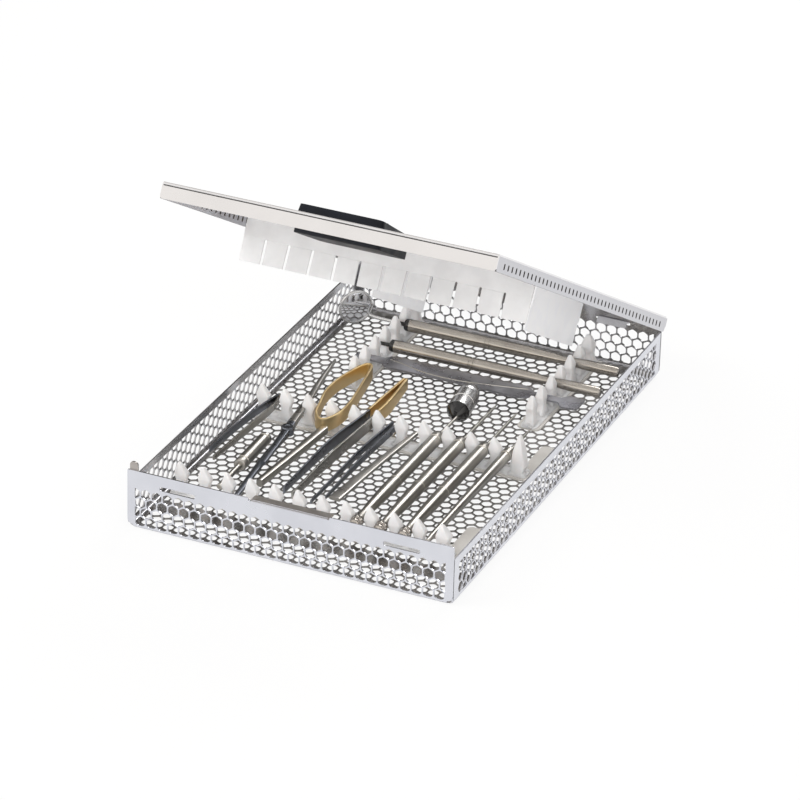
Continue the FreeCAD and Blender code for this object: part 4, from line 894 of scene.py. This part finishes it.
FORCEPS_LEVEL = 11.2
# Painted shade: the forceps' left arm gets the blued steel and the right arm the bright steel, though both
# are one steel.
instrument(
    "gold_forceps_left_arm",
    bar(FORCEPS_LEVEL, [(-26.9, -88), (-26.4, -36), (-22.6, -3), (-21.6, 12)], [0.6], [2.0, 3.6, 3.6, 3.4]),
    blued_and_shaded_steel, slot="dark_steel"
)
instrument(
    "gold_forceps_right_arm",
    bar(FORCEPS_LEVEL, [(-20.4, -92), (-19.7, -48), (-17.2, -3), (-16.6, 12)], [0.6], [2.0, 3.6, 3.6, 3.4]),
    bright_steel
)
gold_parts = [
    bar(FORCEPS_LEVEL, [(-22.0, 6), (-21.2, 20), (-20.4, 47)], [0.8], [3.8, 4.2, 3.2]),
    bar(FORCEPS_LEVEL, [(-16.9, 6), (-16.4, 20), (-18.8, 47)], [0.8], [3.8, 4.2, 3.2]),
]
instrument("gold_forceps_ends", joined(gold_parts), gold_plate, ["gold_forceps"], slot="gold_plate")

fine_parts = [
    bar(9.7, [(-10.4, -91), (-10.2, -34), (-7.6, 4.5)], [0.4, 0.6, 0.6], [1.0, 2.0, 2.0]),
    bar(9.7, [(-5.6, -83), (-6.0, -40), (-4.6, 4.5)], [0.4, 0.6, 0.6], [1.0, 2.0, 2.0]),
]
instrument("fine_forceps_arms", joined(fine_parts), blued_and_shaded_steel, ["fine_forceps"], slot="dark_steel")


# Scissors: two dark shanks run back from the front rack to a box joint with one screw, behind
# which the two long bright blades lie in the middle rack.

scissor_shanks = [
    bar(8.8, [(-47.5, -102.5), (-52, -60), (-53.9, -27), (-54.6, -20)], [1.3, 1.9, 2.1, 2.0], [1.1]),
    bar(11, [(-48.9, -67), (-51.4, -47), (-53.9, -27), (-54.6, -20)], [1.3, 1.8, 2.1, 2.0], [1.1]),
    turned(
        [(0, 3.0), (0.4, 3.4), (4.6, 3.4), (5.0, 3.0), (5.0, 1.6), (4.7, 1.4), (4.7, 0.3)],
        (-53.9, -27, 7.6), (0, 0, 1)
    ),
]
instrument("scissors_shanks", joined(scissor_shanks), blued_and_shaded_steel, ["scissors"], slot="dark_steel")
scissor_blades = [
    bar(8.8, [(-54.7, -22), (-58.5, 5), (-63, 35), (-65.8, 57)], [2.1, 1.8, 1.2, 0.5], [1.05]),
    bar(11, [(-54.7, -22), (-57.6, 5), (-62, 33), (-64.4, 55)], [2.1, 1.8, 1.1, 0.5], [1.05]),
]
instrument("scissors_blades", joined(scissor_blades), bright_steel)


# Needle holder: a steel shank in the racks and a gold-plated finger loop that stands on edge
# round one finger of the middle rack.

LOOP_LEVEL = 11.6
loop_spots = [
    (-34.0, 8), (-37.8, 34), (-40.4, 49), (-43.4, 52.2), (-46.6, 47), (-50.5, 30), (-50.9, 14),
    (-48.2, 1), (-45.4, -10), (-41.0, -15.6), (-37.4, -14.6), (-34.4, -7)
]
instrument(
    "needle_holder_loop", bar(LOOP_LEVEL, loop_spots, [0.75], [4.0], steps=96, loop=True), gold_plate,
    ["needle_holder"], slot="gold_plate"
)
instrument(
    "needle_holder_shank", bar(9.8, [(-42.4, -85), (-39.6, -50), (-37.2, -17)], [1.7, 2.0, 2.2], [2.2]),
    satin_steel
)


# Tapered blade: one flat bright steel bar, ground narrower towards the rear, that lies across
# the front and middle racks.

instrument(
    "tapered_blade_flat", bar(8.7, [(-1.7, -81), (2, -40), (6.8, 3)], [3.2, 2.3, 1.2], [1.1]),
    bright_steel, ["tapered_blade"]
)


# Retractor: a flat blade of satin strip, waisted where it crosses the rear racks, with one small
# hole near its left end.

retractor_half = [
    (-59.5, 2.6), (-43.5, 2.6), (-41, 5.5), (-37, 7), (-10, 6.2), (15, 6.2), (37, 7), (41, 5.5),
    (43.5, 2.6), (59.5, 2.6), (62.5, 6.8), (71.5, 6)
]
retractor_loop = np.concatenate([np.array(retractor_half) * (1, -1), retractor_half[::-1]])
hole_turn = np.linspace(0, 2 * math.pi, 20, endpoint=False)
retractor_hole = np.array([-37.5, 2]) + 1.3 * np.c_[np.cos(hole_turn), np.sin(hole_turn)]
points, faces = sheet_between([retractor_loop, retractor_hole], 1.2)
points += np.array([0, gap_y(1), 7.6])
blade_steel = finish("blade_steel", (0.42, 0.42, 0.45), (0.34, 0.34, 0.37), 1, 0.24, 0.10)
instrument("retractor_blade", (points, faces), blade_steel, ["retractor"])
# A fine bright rib is rolled into the blade along a shallow wave.
rib = [(-40, 73.5), (-31.8, 71.6), (-16, 67.6), (4, 67.6), (31, 73.0), (40, 75.0)]
instrument("retractor_rib", bar(8.85, rib, [0.45], [0.25], power=0.8, sides=10), bright_steel)


# Mouth mirror: a silvered glass disc set in a rolled steel rim on a bent neck, which plugs into
# the rearmost handle.

mirror_glass = finish("mirror_glass", (0.82, 0.83, 0.86), (0.78, 0.79, 0.82), 1, 0.03, 0.02, 900.0, 0.000001)
mirror_centre = np.array([-81.4, gap_y(4) + 7, AXIS_LEVEL + 0.2])
mirror_face = np.array([1, -1, 0]) / math.sqrt(2)
mirror_neck = np.array([1, 1, 0]) / math.sqrt(2)
rim = [
    (-0.9, 0.2), (-0.9, 8.6), (-0.6, 9.6), (0, 10.0), (0.7, 9.9), (1.1, 9.4), (1.0, 8.9), (0.5, 8.7),
    (0.45, 8.8)
]
neck_root = mirror_centre + mirror_neck * 9.2
knee = np.array([neck_root[0] + 5, gap_y(4) + 1.5, neck_root[2]])
neck = ribbon([neck_root, knee, (REAR_LEFT, gap_y(4), AXIS_LEVEL)], [1.1, 1.1, 0.9], [1.1, 1.1, 0.9], power=1)
instrument(
    "mouth_mirror_rim", joined([turned(rim, mirror_centre, mirror_face), neck]), polished_steel,
    ["mouth_mirror"]
)
instrument(
    "mouth_mirror_glass", turned([(0.45, 8.8), (0.6, 8.5), (0.62, 0.1)], mirror_centre, mirror_face),
    mirror_glass, slot="mirror_glass"
)


# Stage: a pale floor that shows white to the camera and in the metal but keeps a soft shadow, a
# surround that is bright in front, dark low behind and paler above, and soft lamps.

def math_node(operation, first, second):
    """One clamped Math node of the floor, on two sockets or on a socket and a number."""
    node = nodes.new("ShaderNodeMath")
    node.operation = operation
    node.use_clamp = True
    for socket, value in zip(node.inputs, (first, second)):
        if isinstance(value, (int, float)):
            socket.default_value = value
        else:
            link(value, socket)
    return node.outputs[0]


floor_mesh = bpy.data.meshes.new("floor")
floor_mesh.from_pydata([(-3, -3, 0), (3, -3, 0), (3, 3, 0), (-3, 3, 0)], [], [(0, 1, 2, 3)])
floor = bpy.data.objects.new("floor", floor_mesh)
bpy.context.scene.collection.objects.link(floor)
floor.location.z = -0.0003
pale = bpy.data.materials.new("pale_floor")
pale.use_nodes = True
nodes, link = pale.node_tree.nodes, pale.node_tree.links.new
shader = nodes["Principled BSDF"]
shader.inputs["Base Color"].default_value = (0.82, 0.82, 0.82, 1)
shader.inputs["Roughness"].default_value = 0.9
path = nodes.new("ShaderNodeLightPath")
spot = nodes.new("ShaderNodeTexCoord")
sides = nodes.new("ShaderNodeSeparateXYZ")
link(spot.outputs["Object"], sides.inputs[0])
seen = math_node("MAXIMUM", path.outputs["Is Camera Ray"], path.outputs["Is Transmission Ray"])
# Metal mirrors the bright floor round the tray, but only the tray's own shade beneath it.
off = []
for axis, half in (("X", HALF_W), ("Y", HALF_D)):
    square = math_node("MULTIPLY", sides.outputs[axis], sides.outputs[axis])
    off.append(math_node("GREATER_THAN", square, (half * 0.001) ** 2))
mirrored = math_node("MULTIPLY", path.outputs["Is Glossy Ray"], math_node("MAXIMUM", *off))
glowing = math_node("MULTIPLY", math_node("MAXIMUM", seen, mirrored), 0.88)
glow = nodes.new("ShaderNodeEmission")
glow.inputs["Strength"].default_value = 1.0
mixed = nodes.new("ShaderNodeMixShader")
link(glowing, mixed.inputs["Fac"])
link(shader.outputs["BSDF"], mixed.inputs[1])
link(glow.outputs["Emission"], mixed.inputs[2])
link(mixed.outputs["Shader"], nodes["Material Output"].inputs["Surface"])
floor_mesh.materials.append(pale)

world = bpy.data.worlds.new("studio")
bpy.context.scene.world = world
world.use_nodes = True
nodes, link = world.node_tree.nodes, world.node_tree.links.new
backdrop = nodes["Background"]
backdrop.inputs["Color"].default_value = (1, 1, 1, 1)
backdrop.inputs["Strength"].default_value = 1.0
surround = nodes.new("ShaderNodeBackground")
surround.inputs["Strength"].default_value = 1.0
direction = nodes.new("ShaderNodeTexCoord")
parts = nodes.new("ShaderNodeSeparateXYZ")
link(direction.outputs["Generated"], parts.inputs[0])


def faded(source, low, high):
    """Share that rises smoothly from none at low to all at high."""
    fade = nodes.new("ShaderNodeMapRange")
    fade.interpolation_type = "SMOOTHSTEP"
    fade.inputs["From Min"].default_value = low
    fade.inputs["From Max"].default_value = high
    link(source, fade.inputs["Value"])
    return fade.outputs["Result"]


def blended(share, first, second):
    """Colour that goes from first to second with the share."""
    blend = nodes.new("ShaderNodeMix")
    blend.data_type = "RGBA"
    link(share, blend.inputs["Factor"])
    for socket, colour in ((blend.inputs["A"], first), (blend.inputs["B"], second)):
        if isinstance(colour, tuple):
            socket.default_value = (*colour, 1)
        else:
            link(colour, socket)
    return blend.outputs["Result"]


FRONT_LIGHT = (0.98, 0.95, 0.91)
REAR_SHADE = (0.06, 0.054, 0.048)
UPPER_LIGHT = (0.74, 0.72, 0.70)
rear_side = blended(faded(parts.outputs["Z"], 0.48, 0.78), REAR_SHADE, UPPER_LIGHT)
front_side = blended(faded(parts.outputs["Z"], 0.62, 0.9), FRONT_LIGHT, UPPER_LIGHT)
link(blended(faded(parts.outputs["Y"], -0.1, 0.4), front_side, rear_side), surround.inputs["Color"])
path = nodes.new("ShaderNodeLightPath")
mixed = nodes.new("ShaderNodeMixShader")
link(path.outputs["Is Camera Ray"], mixed.inputs["Fac"])
link(surround.outputs["Background"], mixed.inputs[1])
link(backdrop.outputs["Background"], mixed.inputs[2])
link(mixed.outputs["Shader"], nodes["World Output"].inputs["Surface"])

for name, spot, aim, size, power, mirrored in (
    ("softbox_left", (-1.0, -0.9, 1.3), (0, 0, 0.05), 0.9, 12, False),
    ("softbox_front", (0.7, -1.4, 0.9), (0, 0, 0.05), 0.9, 9, False),
    ("softbox_rear", (0.1, 1.1, 1.1), (0, 0, 0), 0.7, 9, True),
):
    lamp = bpy.data.lights.new(name, "AREA")
    lamp.size = size
    lamp.energy = power
    holder = bpy.data.objects.new(name, lamp)
    bpy.context.scene.collection.objects.link(holder)
    holder.location = spot
    holder.rotation_euler = (Vector(aim) - Vector(spot)).to_track_quat("-Z", "Y").to_euler()
    holder.visible_glossy = mirrored


# Camera: it stands where the photograph was taken from, found from the tray's own corners.

AZIMUTH, ELEVATION, ROLL = (math.radians(angle) for angle in (23.4628, 27.6741, 1.5886))
DISTANCE, ASIDE, RAISED = 2.53577, -0.0010961, 0.0248411
LENS = 217.516
reach = math.cos(ELEVATION)
back = np.array([math.sin(AZIMUTH) * reach, -math.cos(AZIMUTH) * reach, math.sin(ELEVATION)])
level = np.array([math.cos(AZIMUTH), math.sin(AZIMUTH), 0])
plumb = np.cross(back, level)
right = math.cos(ROLL) * level + math.sin(ROLL) * plumb
up = math.cos(ROLL) * plumb - math.sin(ROLL) * level
place = back * DISTANCE + right * ASIDE + up * RAISED
camera_data = bpy.data.cameras.new("camera")
camera_data.lens = LENS
camera_data.sensor_width = 36
camera_data.clip_end = 20
camera = bpy.data.objects.new("camera", camera_data)
bpy.context.scene.collection.objects.link(camera)
camera.matrix_world = Matrix([[right[k], up[k], back[k], place[k]] for k in range(3)] + [[0, 0, 0, 1]])
bpy.context.scene.camera = camera
bpy.context.scene.view_settings.view_transform = "Standard"
